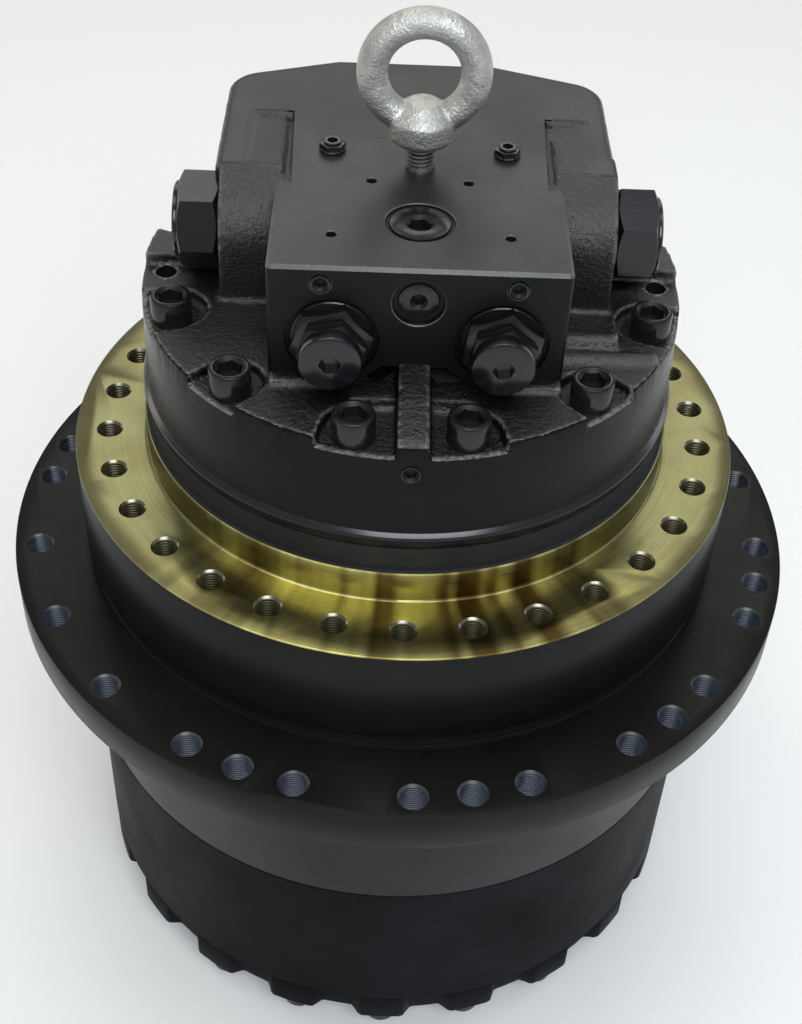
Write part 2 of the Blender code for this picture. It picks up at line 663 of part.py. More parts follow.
def gearbox():
    """Both stages, with the phase of each gear worked out from the one it meshes with."""
    first_sun_phase = 0.0
    first_phase = planet_phase_from_sun(FIRST_SUN_TEETH, FIRST_PLANET_TEETH, first_sun_phase,
                                        PLANET_START)
    ring_phase = ring_phase_from_planet(FIRST_PLANET_TEETH, first_phase, PLANET_START)
    second_phase = planet_phase_from_ring(SECOND_PLANET_TEETH, ring_phase, PLANET_START)
    second_sun_phase = sun_phase_from_planet(SECOND_SUN_TEETH, SECOND_PLANET_TEETH,
                                             second_phase, PLANET_START)
    ring_gear(ring_phase)
    planets("first", FIRST_SUN_TEETH, FIRST_PLANET_TEETH, first_sun_phase, FIRST_ORBIT,
            FIRST_GEAR_Z, FIRST_GEAR_W, FIRST_PIN_R)
    planets("second", SECOND_SUN_TEETH, SECOND_PLANET_TEETH, second_sun_phase, SECOND_ORBIT,
            SECOND_GEAR_Z, SECOND_GEAR_W, SECOND_PIN_R)
    sun_shaft(first_sun_phase)
    second_sun(second_sun_phase)
    second_carrier()
    first_carrier()


def ring_gear(phase):
    """Drum with inner teeth: the tooth spaces are cut as one toothed prism."""
    top = HUB_BOTTOM_Z - GAP
    slim = DRUM_R - RING_STEP_IN
    body = lathe("ring_gear", [
        (0.0, RING_BOTTOM_Z), (slim, RING_BOTTOM_Z), (slim, RING_STEP_Z),
        (DRUM_R, RING_STEP_Z + RING_STEP_IN), (DRUM_R, top), (0.0, top)], ROUND_STEPS)
    pitch_r = MODULE * RING_TEETH / 2
    radii = (pitch_r - ADDENDUM, pitch_r, pitch_r + DEDENDUM)
    spaces = gear_outline(RING_TEETH, phase, radii, BACKLASH / 4)
    carve(body, [prism("spaces", spaces, RING_BOTTOM_Z - OVERCUT, HUB_BOTTOM_Z + OVERCUT)])
    finish(body, "black_paint")


def planets(stage, sun_teeth, planet_teeth, sun_phase, orbit, low, width, pin_r):
    for i, direction in enumerate(planet_directions()):
        phase = planet_phase_from_sun(sun_teeth, planet_teeth, sun_phase, direction)
        gear = outer_gear("%s_planet_%d" % (stage, i + 1), planet_teeth, phase, low, width)
        carve(gear, [rod("bore", loose_bore(pin_r, SMALL_STEPS), low - OVERCUT,
                         low + width + OVERCUT)])
        gear.location = (*around(orbit, direction), 0)
        finish(gear, "gear_steel")


def sun_shaft(phase):
    """Shaft of the motor with the first sun's teeth cut on its lower end."""
    gear = outer_gear("sun_shaft", FIRST_SUN_TEETH, phase, FIRST_GEAR_Z, FIRST_GEAR_W)
    low = FIRST_GEAR_Z - SHAFT_END
    top = CYLINDERS_TOP_Z - SHAFT_CHAMFER
    shaft = lathe("shaft", [(0.0, low), (SHAFT_R - SHAFT_CHAMFER, low),
                            (SHAFT_R, low + SHAFT_CHAMFER), (SHAFT_R, top), (0.0, top)],
                  SMALL_STEPS)
    finish(fuse(gear, [shaft]), "gear_steel")


def second_sun(phase):
    """Hollow sun of the second stage, standing on the first carrier that drives it."""
    base = FIRST_PLATE_Z + FIRST_PLATE_T
    gear = outer_gear("second_sun", SECOND_SUN_TEETH, phase, SECOND_GEAR_Z, SECOND_GEAR_W)
    fuse(gear, [rod("neck", SUN_NECK_R, base + GAP, SECOND_GEAR_Z + LAP, INNER_STEPS)])
    carve(gear, [rod("bore", SUN_BORE_R, base - OVERCUT,
                     SECOND_GEAR_Z + SECOND_GEAR_W + OVERCUT)])
    finish(gear, "gear_steel")


def carrier_pins(body, stage, orbit, pin_r, low, high):
    """Bore a carrier for its three pins and set the pins in it."""
    carve(body, [rod("pin_hole", pin_r + GAP, low - OVERCUT, high + OVERCUT, SMALL_STEPS,
                     around(orbit, direction)) for direction in planet_directions()])
    for i, direction in enumerate(planet_directions()):
        pin = rod("%s_pin_%d" % (stage, i + 1), pin_r, low, high)
        pin.location = (*around(orbit, direction), 0)
        finish(pin, "steel")


def second_carrier():
    """Fixed cage of the second stage: two plates joined by three webs between the planets."""
    top = TOP_PLATE_Z + TOP_PLATE_T
    body = ring("second_carrier", TOP_PLATE_BORE_R, CARRIER_R, TOP_PLATE_Z, top)
    low_plate = ring("low_plate", LOW_PLATE_BORE_R, CARRIER_R, LOW_PLATE_Z,
                     LOW_PLATE_Z + LOW_PLATE_T)
    webs = []
    for direction in planet_directions():
        web = box("web", (WEB_INNER_X, WEB_OUTER_X), (-WEB_HALF_W, WEB_HALF_W),
                  (LOW_PLATE_Z + LAP, top - LAP))
        webs.append(transform(web, Matrix.Rotation(direction + math.pi / PLANETS, 4, "Z")))
    fuse(body, webs[:1] + [low_plate] + webs[1:])
    carrier_pins(body, "second", SECOND_ORBIT, SECOND_PIN_R, LOW_PLATE_Z + PIN_SINK,
                 top - PIN_SINK)
    finish(body, "cast_iron")


def first_carrier():
    """Turning plate with three pins that hang down through the first planets."""
    top = FIRST_PLATE_Z + FIRST_PLATE_T
    body = ring("first_carrier", FIRST_CARRIER_BORE_R, FIRST_CARRIER_R, FIRST_PLATE_Z, top)
    carrier_pins(body, "first", FIRST_ORBIT, FIRST_PIN_R, FIRST_GEAR_Z - PIN_SINK,
                 top - PIN_SINK)
    finish(body, "cast_iron")


def cover_outline():
    """Round lobes at the bolts with shallow scallops between them."""
    points = []
    for i in range(COVER_LOBES):
        middle = COVER_PHASE + math.tau * i / COVER_LOBES
        points.append(around(LOBE_R - SCALLOP_DEPTH, middle - SCALLOP_HALF))
        points.append(around(LOBE_R, middle - LOBE_HALF))
        points.append(around(LOBE_R, middle + LOBE_HALF))
        points.append(around(LOBE_R - SCALLOP_DEPTH, middle + SCALLOP_HALF))
    return points


def end_cover():
    """Lobed cover with its screw heads, dished face and middle boss, and its two plugs."""
    body = prism("end_cover", cover_outline(), COVER_RIM_Z, RING_BOTTOM_Z - GAP)
    rim_root = COVER_RIM_Z + 3 * LAP
    edge = COVER_BOSS_R + COVER_BOSS_EDGE
    fuse(body, [lathe("dish", [
        (0.0, 0.0), (COVER_BOSS_R, 0.0), (edge, COVER_BOSS_EDGE), (edge + LAP, DISH_Z),
        (DISH_R, DISH_Z), (DISH_EDGE_R, COVER_RIM_Z - GAP), (DISH_EDGE_R, rim_root),
        (0.0, rim_root)], ROUND_STEPS)])
    heads = [rod("head", COVER_HEAD_R, DISH_Z, COVER_RIM_Z + LAP, HOLE_STEPS,
                 around(COVER_BOLT_ORBIT, COVER_PHASE + math.tau * i / COVER_LOBES))
             for i in range(COVER_LOBES)]
    fuse(body, [joined(heads)])
    floor_z = RING_BOTTOM_Z - HOLLOW_DEPTH
    carve(body, [rod("hollow", HOLLOW_R, floor_z, RING_BOTTOM_Z + OVERCUT, ROUND_STEPS)])
    button_z = floor_z - BUTTON_SINK
    carve(body, [rod("button_pocket", BUTTON_R + GAP, button_z, floor_z + OVERCUT)])
    places = [around(COVER_PLUG_ORBIT, math.radians(turn)) for turn in (90, -90)]
    carve(body, [rod("plug_hole", COVER_PLUG.shank_r + GAP, DISH_Z - OVERCUT,
                     DISH_Z + COVER_PLUG.shank_l + HOLE_SPARE, BOLT_STEPS, place)
                 for place in places])
    finish(body, "black_paint")
    finish(rod("thrust_button", BUTTON_R, button_z + GAP, FIRST_GEAR_Z - SHAFT_END - GAP),
           "bronze")
    for name, place in zip(("fill_plug", "drain_plug"), places):
        plug = socket_plug(name, COVER_PLUG)
        transform(plug, Matrix.Rotation(math.pi, 4, "X"))
        plug.location = (*place, DISH_Z - GAP)
        finish(plug, "black_paint")


def socket_plug(name, size, steps=BOLT_STEPS):
    """Turned head on a shank, with its seat at zero height and a hexagon socket in its top."""
    outline = [(0.0, -size.shank_l), (size.shank_r, -size.shank_l), (size.shank_r, 0.0),
               (size.head_r, 0.0), (size.head_r, size.head_h), (0.0, size.head_h)]
    if size.head_r == size.shank_r:
        outline = outline[:2] + outline[4:]
    body = lathe(name, outline, steps)
    return carve(body, [prism("socket", hex_outline(size.socket_af),
                              size.head_h - size.socket_depth, size.head_h + OVERCUT)])


def cover_screws():
    for i, degrees in enumerate(SCREW_ANGLES):
        screw = socket_plug("cover_screw_%d" % (i + 1), SCREW)
        screw.location = (*around(SCREW_ORBIT, math.radians(degrees)), SEAT_Z + GAP)
        finish(screw, "black_paint")


def block_outline():
    """Plan of the port block: narrow in front of the ears, with a tapered rear."""
    return [(BLOCK_LEFT_X, BLOCK_FRONT_Y), (BLOCK_RIGHT_X, BLOCK_FRONT_Y),
            (BLOCK_RIGHT_X, EAR_FRONT_Y), (EAR_X, EAR_FRONT_Y), (EAR_X, EAR_CORNER_Y),
            (BLOCK_REAR_X, BLOCK_REAR_Y), (-BLOCK_REAR_X, BLOCK_REAR_Y),
            (-EAR_X, EAR_CORNER_Y), (-EAR_X, EAR_FRONT_Y), (BLOCK_LEFT_X, EAR_FRONT_Y)]


def on_top(edge):
    return all(vert.co.z > TOP_Z - GAP for vert in edge.verts)


def upright(edge):
    low, high = sorted(vert.co.z for vert in edge.verts)
    return high - low > PORT_BLOCK_H / 2


def on_front_corner(edge):
    return upright(edge) and edge.verts[0].co.y < BLOCK_FRONT_Y + GAP


def on_ear_corner(edge):
    return upright(edge) and abs(edge.verts[0].co.y - EAR_CORNER_Y) < GAP


def port_block():
    """Block with rounded ears; slots beside its front part set the ears apart from it."""
    block = prism("block", block_outline(), DECK_Z - BLOCK_ROOT, TOP_Z)
    bevel_edges(block, on_ear_corner, EAR_ROUND, 3)
    bevel_edges(block, on_front_corner, FRONT_EDGE)
    bevel_edges(block, on_top, TOP_EDGE)
    slots = []
    for side in (-1, 1):
        outer_x = BLOCK_MID_X + side * (BLOCK_HALF_W - SLOT_SET_IN)
        slots.append(box("slot", sorted((outer_x, outer_x - side * SLOT_W)),
                         (SLOT_FRONT_Y, SLOT_REAR_Y), (TOP_Z - SLOT_DEPTH, TOP_Z + OVERCUT)))
    return carve(block, slots)


def rear_shoulder(radius):
    """Higher rear part of the deck."""
    top = DECK_Z + SHOULDER_H
    shoulder = lathe("shoulder", [(0.0, DECK_Z - LAP), (radius, DECK_Z - LAP),
                                  (radius, top - CASE_EDGE), (radius - CASE_EDGE, top),
                                  (0.0, top)], ROUND_STEPS)
    return carve(shoulder, [box("front_half", (-2 * radius, 2 * radius),
                                (-2 * radius, SHOULDER_Y), (DECK_Z - OVERCUT, top + OVERCUT))])


def case_body():
    """Round casing of the rear cover with the port block, its ears and the cross boss."""
    top_r = CASE_FOOT_R - CASE_TAPER
    body = lathe("rear_cover", [
        (0.0, SPIGOT_Z), (MOTOR_R - GAP, SPIGOT_Z), (MOTOR_R - GAP, JOINT_Z + GAP),
        (NECK_R, JOINT_Z + GAP), (CASE_FOOT_R - GAP, JOINT_Z + BULGE_LOW),
        (CASE_FOOT_R, JOINT_Z + BULGE_MID), (CASE_FOOT_R - CASE_TAPER / 2, JOINT_Z + BULGE_HIGH),
        (top_r, DECK_Z - CASE_EDGE), (top_r - CASE_EDGE, DECK_Z), (0.0, DECK_Z)], ROUND_STEPS)
    root_z = DECK_Z - BLOCK_ROOT
    boss = lay_along_x(rod("boss", BOSS_R, -BOSS_REACH, BOSS_REACH, INNER_STEPS))
    transform(boss, Matrix.Translation((BLOCK_MID_X, 0, BOSS_Z)))
    foot = box("foot", (BLOCK_MID_X - BOSS_REACH, BLOCK_MID_X + BOSS_REACH), (-BOSS_R, BOSS_R),
               (root_z, BOSS_Z))
    ledge_y = (BLOCK_FRONT_Y - LEDGE_OUT, BLOCK_FRONT_Y + LEDGE_OUT)
    ledge_z = (root_z, DECK_Z + LEDGE_H)
    ledges = [box("ledge", (BLOCK_LEFT_X + CASE_EDGE, LEDGE_LEFT_X), ledge_y, ledge_z),
              box("ledge", (LEDGE_RIGHT_X, BLOCK_RIGHT_X - CASE_EDGE), ledge_y, ledge_z)]
    return fuse(body, [rear_shoulder(top_r - CASE_EDGE), port_block(), boss, foot] + ledges)


def front_rib():
    """Short rib that ties the port block to the casing wall, in the middle of the front."""
    root_z = DECK_Z - RIB_ROOT
    rear_y = BLOCK_FRONT_Y + LAP
    profile = [(RIB_FRONT_Y, root_z), (RIB_FRONT_Y, DECK_Z + RIB_H),
               (RIB_BEND_Y, DECK_Z + RIB_H - CASE_EDGE), (rear_y, DECK_Z + LEDGE_H),
               (rear_y, root_z)]
    rib = prism("rib", profile, RIB_LEFT_X, RIB_RIGHT_X)
    upright = Matrix(((0, 0, 1, 0), (1, 0, 0, 0), (0, 1, 0, 0), (0, 0, 0, 1)))
    return transform(rib, upright)


def case_pockets(body):
    """Pockets round the screws, open towards the wall, and the holes below them."""
    for degrees in SCREW_ANGLES:
        angle = math.radians(degrees)
        pocket = rod("pocket", POCKET_R, SEAT_Z, POCKET_REACH_Z, SMALL_STEPS,
                     around(SCREW_ORBIT, angle))
        mouth = box("mouth", (SCREW_ORBIT, CASE_FOOT_R + OVERCUT), (-POCKET_R, POCKET_R),
                    (SEAT_Z, POCKET_REACH_Z))
        fuse(pocket, [transform(mouth, Matrix.Rotation(angle, 4, "Z"))])
        carve(body, [pocket])
    carve(body, [box("room", span, (-CASE_FOOT_R - OVERCUT, ROOM_REAR_Y), (SEAT_Z, POCKET_REACH_Z))
                 for span in ((ROOM_LEFT_X, RIB_LEFT_X), (RIB_RIGHT_X, ROOM_RIGHT_X))])
    arch = prism("arch", [
        (ARCH_LEFT_X, DECK_Z), (ARCH_LEFT_X + ARCH_SLOPE, DECK_Z + ARCH_H),
        (ARCH_RIGHT_X - ARCH_SLOPE, DECK_Z + ARCH_H), (ARCH_RIGHT_X, DECK_Z)],
        -BLOCK_FRONT_Y - ARCH_DEPTH, -BLOCK_FRONT_Y + 2 * OVERCUT)
    carve(body, [lay_along_minus_y(arch)])
    carve(body, [rod("shank_hole", SCREW.shank_r + GAP, SEAT_Z - SCREW.shank_l - HOLE_SPARE,
                     SEAT_Z + OVERCUT, BOLT_STEPS, around(SCREW_ORBIT, math.radians(degrees)))
                 for degrees in SCREW_ANGLES])


def front_hole(radius, depth, x, z, steps=SMALL_STEPS):
    tool = lay_along_minus_y(rod("front_hole", radius, 0.0, depth + OVERCUT, steps))
    return transform(tool, Matrix.Translation((x, BLOCK_FRONT_Y + depth, z)))


def side_hole(radius, depth, side, face_x, y, z):
    tool = lay_along_x(rod("side_hole", radius, 0.0, depth + OVERCUT))
    start = face_x - depth if side > 0 else face_x - OVERCUT
    return transform(tool, Matrix.Translation((start, y, z)))


def spot_face(side):
    """Room for a counterbalance cap, milled into the ear beside the end of the boss."""
    tool = lay_along_x(rod("spot_face", SPOT_R, 0.0, side * (BALANCE_HEX_H + OVERCUT)))
    return transform(tool, Matrix.Translation((BLOCK_MID_X + side * BOSS_REACH, 0, BOSS_Z)))


def top_hole(radius, depth, place, steps=BOLT_STEPS):
    return rod("top_hole", radius, TOP_Z - depth, TOP_Z + OVERCUT, steps, place)


def plug_depth(size):
    return size.shank_l + HOLE_SPARE


def case_holes(body):
    """Recesses and bores for the valves, caps and plugs, and the open ports."""
    carve(body, [front_hole(VALVE_RECESS_R, FACE_RECESS, x, VALVE_Z, INNER_STEPS)
                 for x in VALVE_X]
          + [front_hole(FRONT_RECESS_R, FACE_RECESS, BLOCK_MID_X, FRONT_PLUG_Z)]
          + [front_hole(SMALL_PLUG.shank_r + GAP, plug_depth(SMALL_PLUG), x, GAUGE_PLUG_Z,
                        BOLT_STEPS) for x in GAUGE_PLUG_X])
    carve(body, [front_hole(VALVE_STEM_R + GAP, FACE_RECESS + VALVE_STEM_L + HOLE_SPARE, x,
                            VALVE_Z) for x in VALVE_X]
          + [front_hole(FRONT_PLUG.shank_r + GAP, FACE_RECESS + plug_depth(FRONT_PLUG),
                        BLOCK_MID_X, FRONT_PLUG_Z)])
    carve(body, [spot_face(side) for side in (-1, 1)])
    carve(body, [side_hole(BALANCE_STEM_R + GAP, BALANCE_STEM_L + HOLE_SPARE, side,
                           BLOCK_MID_X + side * BOSS_REACH, 0.0, BOSS_Z) for side in (-1, 1)]
          + [side_hole(SIDE_PORT_R, SIDE_PORT_DEPTH, side, side * EAR_X, SIDE_PORT_Y,
                       SIDE_PORT_Z)
             for side in (-1, 1)])
    carve(body, [top_hole(TOP_RECESS_R, TOP_RECESS, (BLOCK_MID_X, TOP_PLUG_Y), INNER_STEPS),
                 top_hole(EYE_THREAD_R + GAP, EYE_THREAD_L + HOLE_SPARE, (BLOCK_MID_X, EYE_Y))]
          + [top_hole(PORT_PLUG.shank_r + GAP, plug_depth(PORT_PLUG), (x, PORT_PLUG_Y))
             for x in PORT_PLUG_X]
          + [rod("case_port", CASE_PORT_R, DECK_Z - CASE_PORT_DEPTH, DECK_Z + OVERCUT,
                 HOLE_STEPS, (x, CASE_PORT_Y)) for x in CASE_PORT_X])
    carve(body, [top_hole(TOP_PLUG.shank_r + GAP, plug_depth(TOP_PLUG), (BLOCK_MID_X, TOP_PLUG_Y),
                          SMALL_STEPS)])
    wall_hole = lay_along_minus_y(rod("wall_hole", SMALL_PLUG.shank_r + GAP,
                                      -RIB_FRONT_Y - plug_depth(SMALL_PLUG),
                                      -RIB_FRONT_Y + OVERCUT, BOLT_STEPS))
    carve(body, [transform(wall_hole, Matrix.Translation((SIDE_PLUG_X, 0, SIDE_PLUG_Z)))])


def rear_cover():
    body = case_body()
    case_pockets(body)
    fuse(body, [front_rib()])
    case_holes(body)
    finish(body, "cast_iron")


def relief_valves():
    """Cartridge with two hexagons and a round adjuster cap, screwed in from the front."""
    floor_y = BLOCK_FRONT_Y + FACE_RECESS
    for side, x, degrees in zip(("left", "right"), VALVE_X, VALVE_TURN):
        turn = math.radians(degrees)
        valve = prism("relief_valve_" + side, hex_outline(VALVE_HEX, turn), 0.0, VALVE_HEX_H)
        fuse(valve, [rod("stem", VALVE_STEM_R, -VALVE_STEM_L, LAP)])
        lay_along_minus_y(valve)
        valve.location = (x, floor_y - GAP, VALVE_Z)
        finish(valve, "black_paint")
        cap = prism("relief_cap_" + side, hex_outline(CAP_HEX, turn), 0.0, CAP_HEX_H)
        fuse(cap, [lathe("knob", [
            (0.0, LAP), (KNOB_R, LAP), (KNOB_R, KNOB_H - KNOB_EDGE), (KNOB_R - KNOB_EDGE, KNOB_H),
            (0.0, KNOB_H)], SMALL_STEPS)])
        carve(cap, [prism("socket", hex_outline(KNOB_SOCKET), KNOB_H - KNOB_SOCKET_DEPTH,
                          KNOB_H + OVERCUT)])
        lay_along_minus_y(cap)
        cap.location = (x, floor_y - 2 * GAP - VALVE_HEX_H, VALVE_Z)
        finish(cap, "black_paint")


def counterbalance_caps():
    """Hexagon caps that close both ends of the cross boss."""
    for side, sign, degrees in zip(("left", "right"), (-1, 1), BALANCE_TURN):
        cap = prism("counterbalance_cap_" + side, hex_outline(BALANCE_HEX, math.radians(degrees)),
                    0.0, BALANCE_HEX_H)
        disc = rod("disc", BALANCE_DISC_R, BALANCE_HEX_H - LAP, BALANCE_HEX_H + BALANCE_DISC_H)
        fuse(cap, [disc, rod("stem", BALANCE_STEM_R, -BALANCE_STEM_L, LAP)])
        transform(cap, Matrix.Rotation(sign * math.radians(90), 4, "Y"))
        cap.location = (BLOCK_MID_X + sign * (BOSS_REACH + GAP), 0, BOSS_Z)
        finish(cap, "black_paint")


def place_plug(name, size, place, steps=BOLT_STEPS, facing_front=False):
    plug = socket_plug(name, size, steps)
    if facing_front:
        lay_along_minus_y(plug)
    plug.location = place
    finish(plug, "black_paint")


def plugs():
    """Plugs of the port block and of the casing wall; a screwed-down head keeps its gap."""
    place_plug("front_plug", FRONT_PLUG,
               (BLOCK_MID_X, BLOCK_FRONT_Y + FACE_RECESS - GAP, FRONT_PLUG_Z), SMALL_STEPS, True)
    for side, x in zip(("left", "right"), GAUGE_PLUG_X):
        place_plug("gauge_plug_" + side, SMALL_PLUG, (x, BLOCK_FRONT_Y, GAUGE_PLUG_Z),
                   facing_front=True)
    place_plug("side_plug", SMALL_PLUG, (SIDE_PLUG_X, RIB_FRONT_Y, SIDE_PLUG_Z),
               facing_front=True)
    place_plug("top_plug", TOP_PLUG, (BLOCK_MID_X, TOP_PLUG_Y, TOP_Z - GAP), SMALL_STEPS)
    for side, x in zip(("left", "right"), PORT_PLUG_X):
        place_plug("port_plug_" + side, PORT_PLUG, (x, PORT_PLUG_Y, TOP_Z + GAP))


def eye_bolt():
    """Lifting eye: ring on a turned collar, its thread not fully screwed home."""
    section = [(EYE_RING_R + across, along) for across, along in circle(EYE_WIRE_R, 8)]
    body = lathe("eye_bolt", section, EYE_STEPS)
    lay_along_minus_y(body)
    transform(body, Matrix.Translation((0, 0, EYE_CENTRE_H)))
    edge = EYE_COLLAR_EDGE
    collar = lathe("collar", [
        (0.0, 0.0), (EYE_COLLAR_R - edge, 0.0), (EYE_COLLAR_R, edge),
        (EYE_COLLAR_R, EYE_COLLAR_SIDE_H), (EYE_COLLAR_R - 1.5 * edge, EYE_COLLAR_H - edge),
        (EYE_COLLAR_R - 2.5 * edge, EYE_COLLAR_H), (0.0, EYE_COLLAR_H)], SMALL_STEPS)
    fuse(body, [collar, rod("shank", EYE_THREAD_R, -EYE_THREAD_SHOWN - EYE_THREAD_L, LAP,
                            BOLT_STEPS)])
    body.location = (BLOCK_MID_X, EYE_Y, TOP_Z + EYE_THREAD_SHOWN)
    finish(body, "zinc")


def main():
    for obj in list(bpy.data.objects):
        bpy.data.objects.remove(obj, do_unlink=True)
    spindle()
    hub()
    bearings_and_seal()
    travel_motor()
    gearbox()
    end_cover()
    rear_cover()
    cover_screws()
    relief_valves()
    counterbalance_caps()
    plugs()
    eye_bolt()


main()
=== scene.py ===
# %% [markdown]
# # Dressing an excavator final drive
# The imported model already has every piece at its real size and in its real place. This lesson
# gives it its looks: fine shapes for the castings and turned parts that show, and a finish for
# every surface, inside and out.

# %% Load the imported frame
import json
import math

import bmesh
import bpy
from mathutils import Matrix, Vector
from mathutils.noise import noise_vector


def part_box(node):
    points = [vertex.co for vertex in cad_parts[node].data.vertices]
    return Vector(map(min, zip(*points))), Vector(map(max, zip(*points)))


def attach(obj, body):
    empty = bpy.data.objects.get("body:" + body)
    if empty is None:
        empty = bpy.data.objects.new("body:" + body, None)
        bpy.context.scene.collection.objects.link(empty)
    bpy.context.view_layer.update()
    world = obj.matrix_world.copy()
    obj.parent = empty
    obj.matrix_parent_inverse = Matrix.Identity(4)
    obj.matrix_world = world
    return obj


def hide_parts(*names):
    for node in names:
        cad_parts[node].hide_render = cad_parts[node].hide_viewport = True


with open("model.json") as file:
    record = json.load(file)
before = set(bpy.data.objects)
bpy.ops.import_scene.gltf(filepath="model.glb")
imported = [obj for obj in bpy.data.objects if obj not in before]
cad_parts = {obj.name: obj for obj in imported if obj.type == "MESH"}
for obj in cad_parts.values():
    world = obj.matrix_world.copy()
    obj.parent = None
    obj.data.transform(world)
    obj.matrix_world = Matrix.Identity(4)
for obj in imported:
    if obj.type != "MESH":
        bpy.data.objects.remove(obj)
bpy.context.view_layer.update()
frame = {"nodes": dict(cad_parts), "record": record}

# %% [markdown]
# ## Sizes that the frame gives
# A scene that measures its frame can't drift away from it. Heights and radii are read from the
# nodes' boxes and from the mounts, and only what a box can't tell is written as a number.

# %% Read heights and radii from the frame
low = {name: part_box(name)[0] for name in frame["nodes"]}
high = {name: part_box(name)[1] for name in frame["nodes"]}
mount = {entry["name"]: Vector(entry["pos_m"]) for entry in frame["record"]["mounts"]}
X, Y, Z = range(3)


def middle_of(name, axis):
    """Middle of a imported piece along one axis."""
    return (low[name][axis] + high[name][axis]) / 2


GAP = 0.0003
FRAME_R = high["spindle_housing"].x
SPROCKET_R = high["sprocket_hub"].x
DRUM_R = high["ring_gear"].x
RING_BOTTOM = low["ring_gear"].z
HUB_BOTTOM = low["sprocket_hub"].z
HUB_TOP = high["sprocket_hub"].z
SPROCKET_BOTTOM = mount["sprocket_flange_underside"].z
SPROCKET_TOP = SPROCKET_BOTTOM + 0.028
FRAME_FACE = mount["frame_flange_face"].z
FRAME_BOTTOM = HUB_TOP + 0.0034
JOINT = high["spindle_housing"].z
TOP = high["rear_cover"].z
DECK = JOINT + 0.071
SEAT = DECK - 0.007
MIDDLE = middle_of("eye_bolt", X)
print("deck at %.1f mm, top at %.1f mm, sprocket radius %.1f mm" % (
    DECK * 1000, TOP * 1000, SPROCKET_R * 1000))

# %% [markdown]
# ## A small bench of mesh tools
# Nearly all of a final drive is turned or cast. A turned part is one outline spun about the
# axis, as on a lathe. Holes are cut with an exact Boolean, because it keeps the flat faces flat.
# Every edge of a real part is broken, so sharp edges get a small bevel that catches the light.

# %% Helpers for turned, extruded and bevelled meshes
# Steps round a turned piece, from the large ones to the small ones.
FINE = 192
BROAD = 96
PLAIN = 64
SMALL = 48
ROUND = 40

# Material slots that a working mesh has, so that a Boolean can carry them over.
SLOTS = 5


def at(x, y, z=0.0):
    """Matrix that shifts a mesh to a place."""
    return Matrix.Translation((x, y, z))


def spun(degrees, axis="Z"):
    """Matrix that turns a mesh about an axis."""
    return Matrix.Rotation(math.radians(degrees), 4, axis)


FACING_FRONT = spun(90, "X")
LYING = spun(90, "Y")


def tidy(bm):
    """Merge doubles and turn the faces outward."""
    bmesh.ops.remove_doubles(bm, verts=bm.verts, dist=0.000004)
    bmesh.ops.recalc_face_normals(bm, faces=bm.faces)
    return bm


def turned(profile, steps=FINE):
    """Spin (radius, height) points about Z; a profile that starts on the axis stays open."""
    bm = bmesh.new()
    points = [bm.verts.new((radius, 0.0, height)) for radius, height in profile]
    edges = [bm.edges.new(pair) for pair in zip(points, points[1:])]
    if profile[0][0] > 0.0:
        edges.append(bm.edges.new((points[-1], points[0])))
    bmesh.ops.spin(bm, geom=points + edges, cent=(0, 0, 0), axis=(0, 0, 1), dvec=(0, 0, 0),
                   angle=math.tau, steps=steps, use_merge=True, use_duplicate=False)
    return tidy(bm)


def lathe(outer, steps=FINE):
    """Turn a solid piece: both ends of its outer line run straight in to the axis."""
    return turned([(0.0, outer[0][1]), *outer, (0.0, outer[-1][1])], steps)


def raised(outline, bottom, top):
    """Extrude a flat (x, y) outline between two heights."""
    bm = bmesh.new()
    face = bm.faces.new([bm.verts.new((x, y, bottom)) for x, y in outline])
    grown = bmesh.ops.extrude_face_region(bm, geom=[face])
    rising = [item for item in grown["geom"] if isinstance(item, bmesh.types.BMVert)]
    bmesh.ops.translate(bm, verts=rising, vec=(0, 0, top - bottom))
    return tidy(bm)


def rod(radius, bottom, top, place=(0.0, 0.0), steps=ROUND, top_radius=None):
    """A cylinder, or a cone where the top has its own radius."""
    bm = bmesh.new()
    bmesh.ops.create_cone(bm, cap_ends=True, segments=steps, radius1=radius,
                          radius2=radius if top_radius is None else top_radius,
                          depth=top - bottom, matrix=at(*place, (bottom + top) / 2))
    return bm


def slab(x_range, y_range, z_range):
    """A box between three pairs of limits."""
    bm = bmesh.new()
    size = Vector(pair[1] - pair[0] for pair in (x_range, y_range, z_range))
    middle = Vector((pair[0] + pair[1]) / 2 for pair in (x_range, y_range, z_range))
    bmesh.ops.create_cube(bm, size=1.0, matrix=at(*middle) @ Matrix.Diagonal((*size, 1.0)))
    return bm


def moved(bm, matrix):
    bmesh.ops.transform(bm, matrix=matrix, verts=bm.verts)
    return bm


def rounded(bm, width, segments, wanted, limit=30):
    """Bevel the edges that are sharper than the limit and that the test picks."""
    edges = [edge for edge in bm.edges if len(edge.link_faces) == 2
             and edge.calc_face_angle() > math.radians(limit) and wanted(edge)]
    bmesh.ops.bevel(bm, geom=edges, offset=width, offset_type="OFFSET", segments=segments,
                    profile=0.5, affect="EDGES", clamp_overlap=True, material=-1)
    return bm


def as_mesh(bm, name="work"):
    mesh = bpy.data.meshes.new(name)
    bm.to_mesh(mesh)
    bm.free()
    return mesh


def joined(parts):
    """Gather several working meshes into one."""
    bm = bmesh.new()
    for part in parts:
        mesh = as_mesh(part)
        bm.from_mesh(mesh)
        bpy.data.meshes.remove(mesh)
    return bm


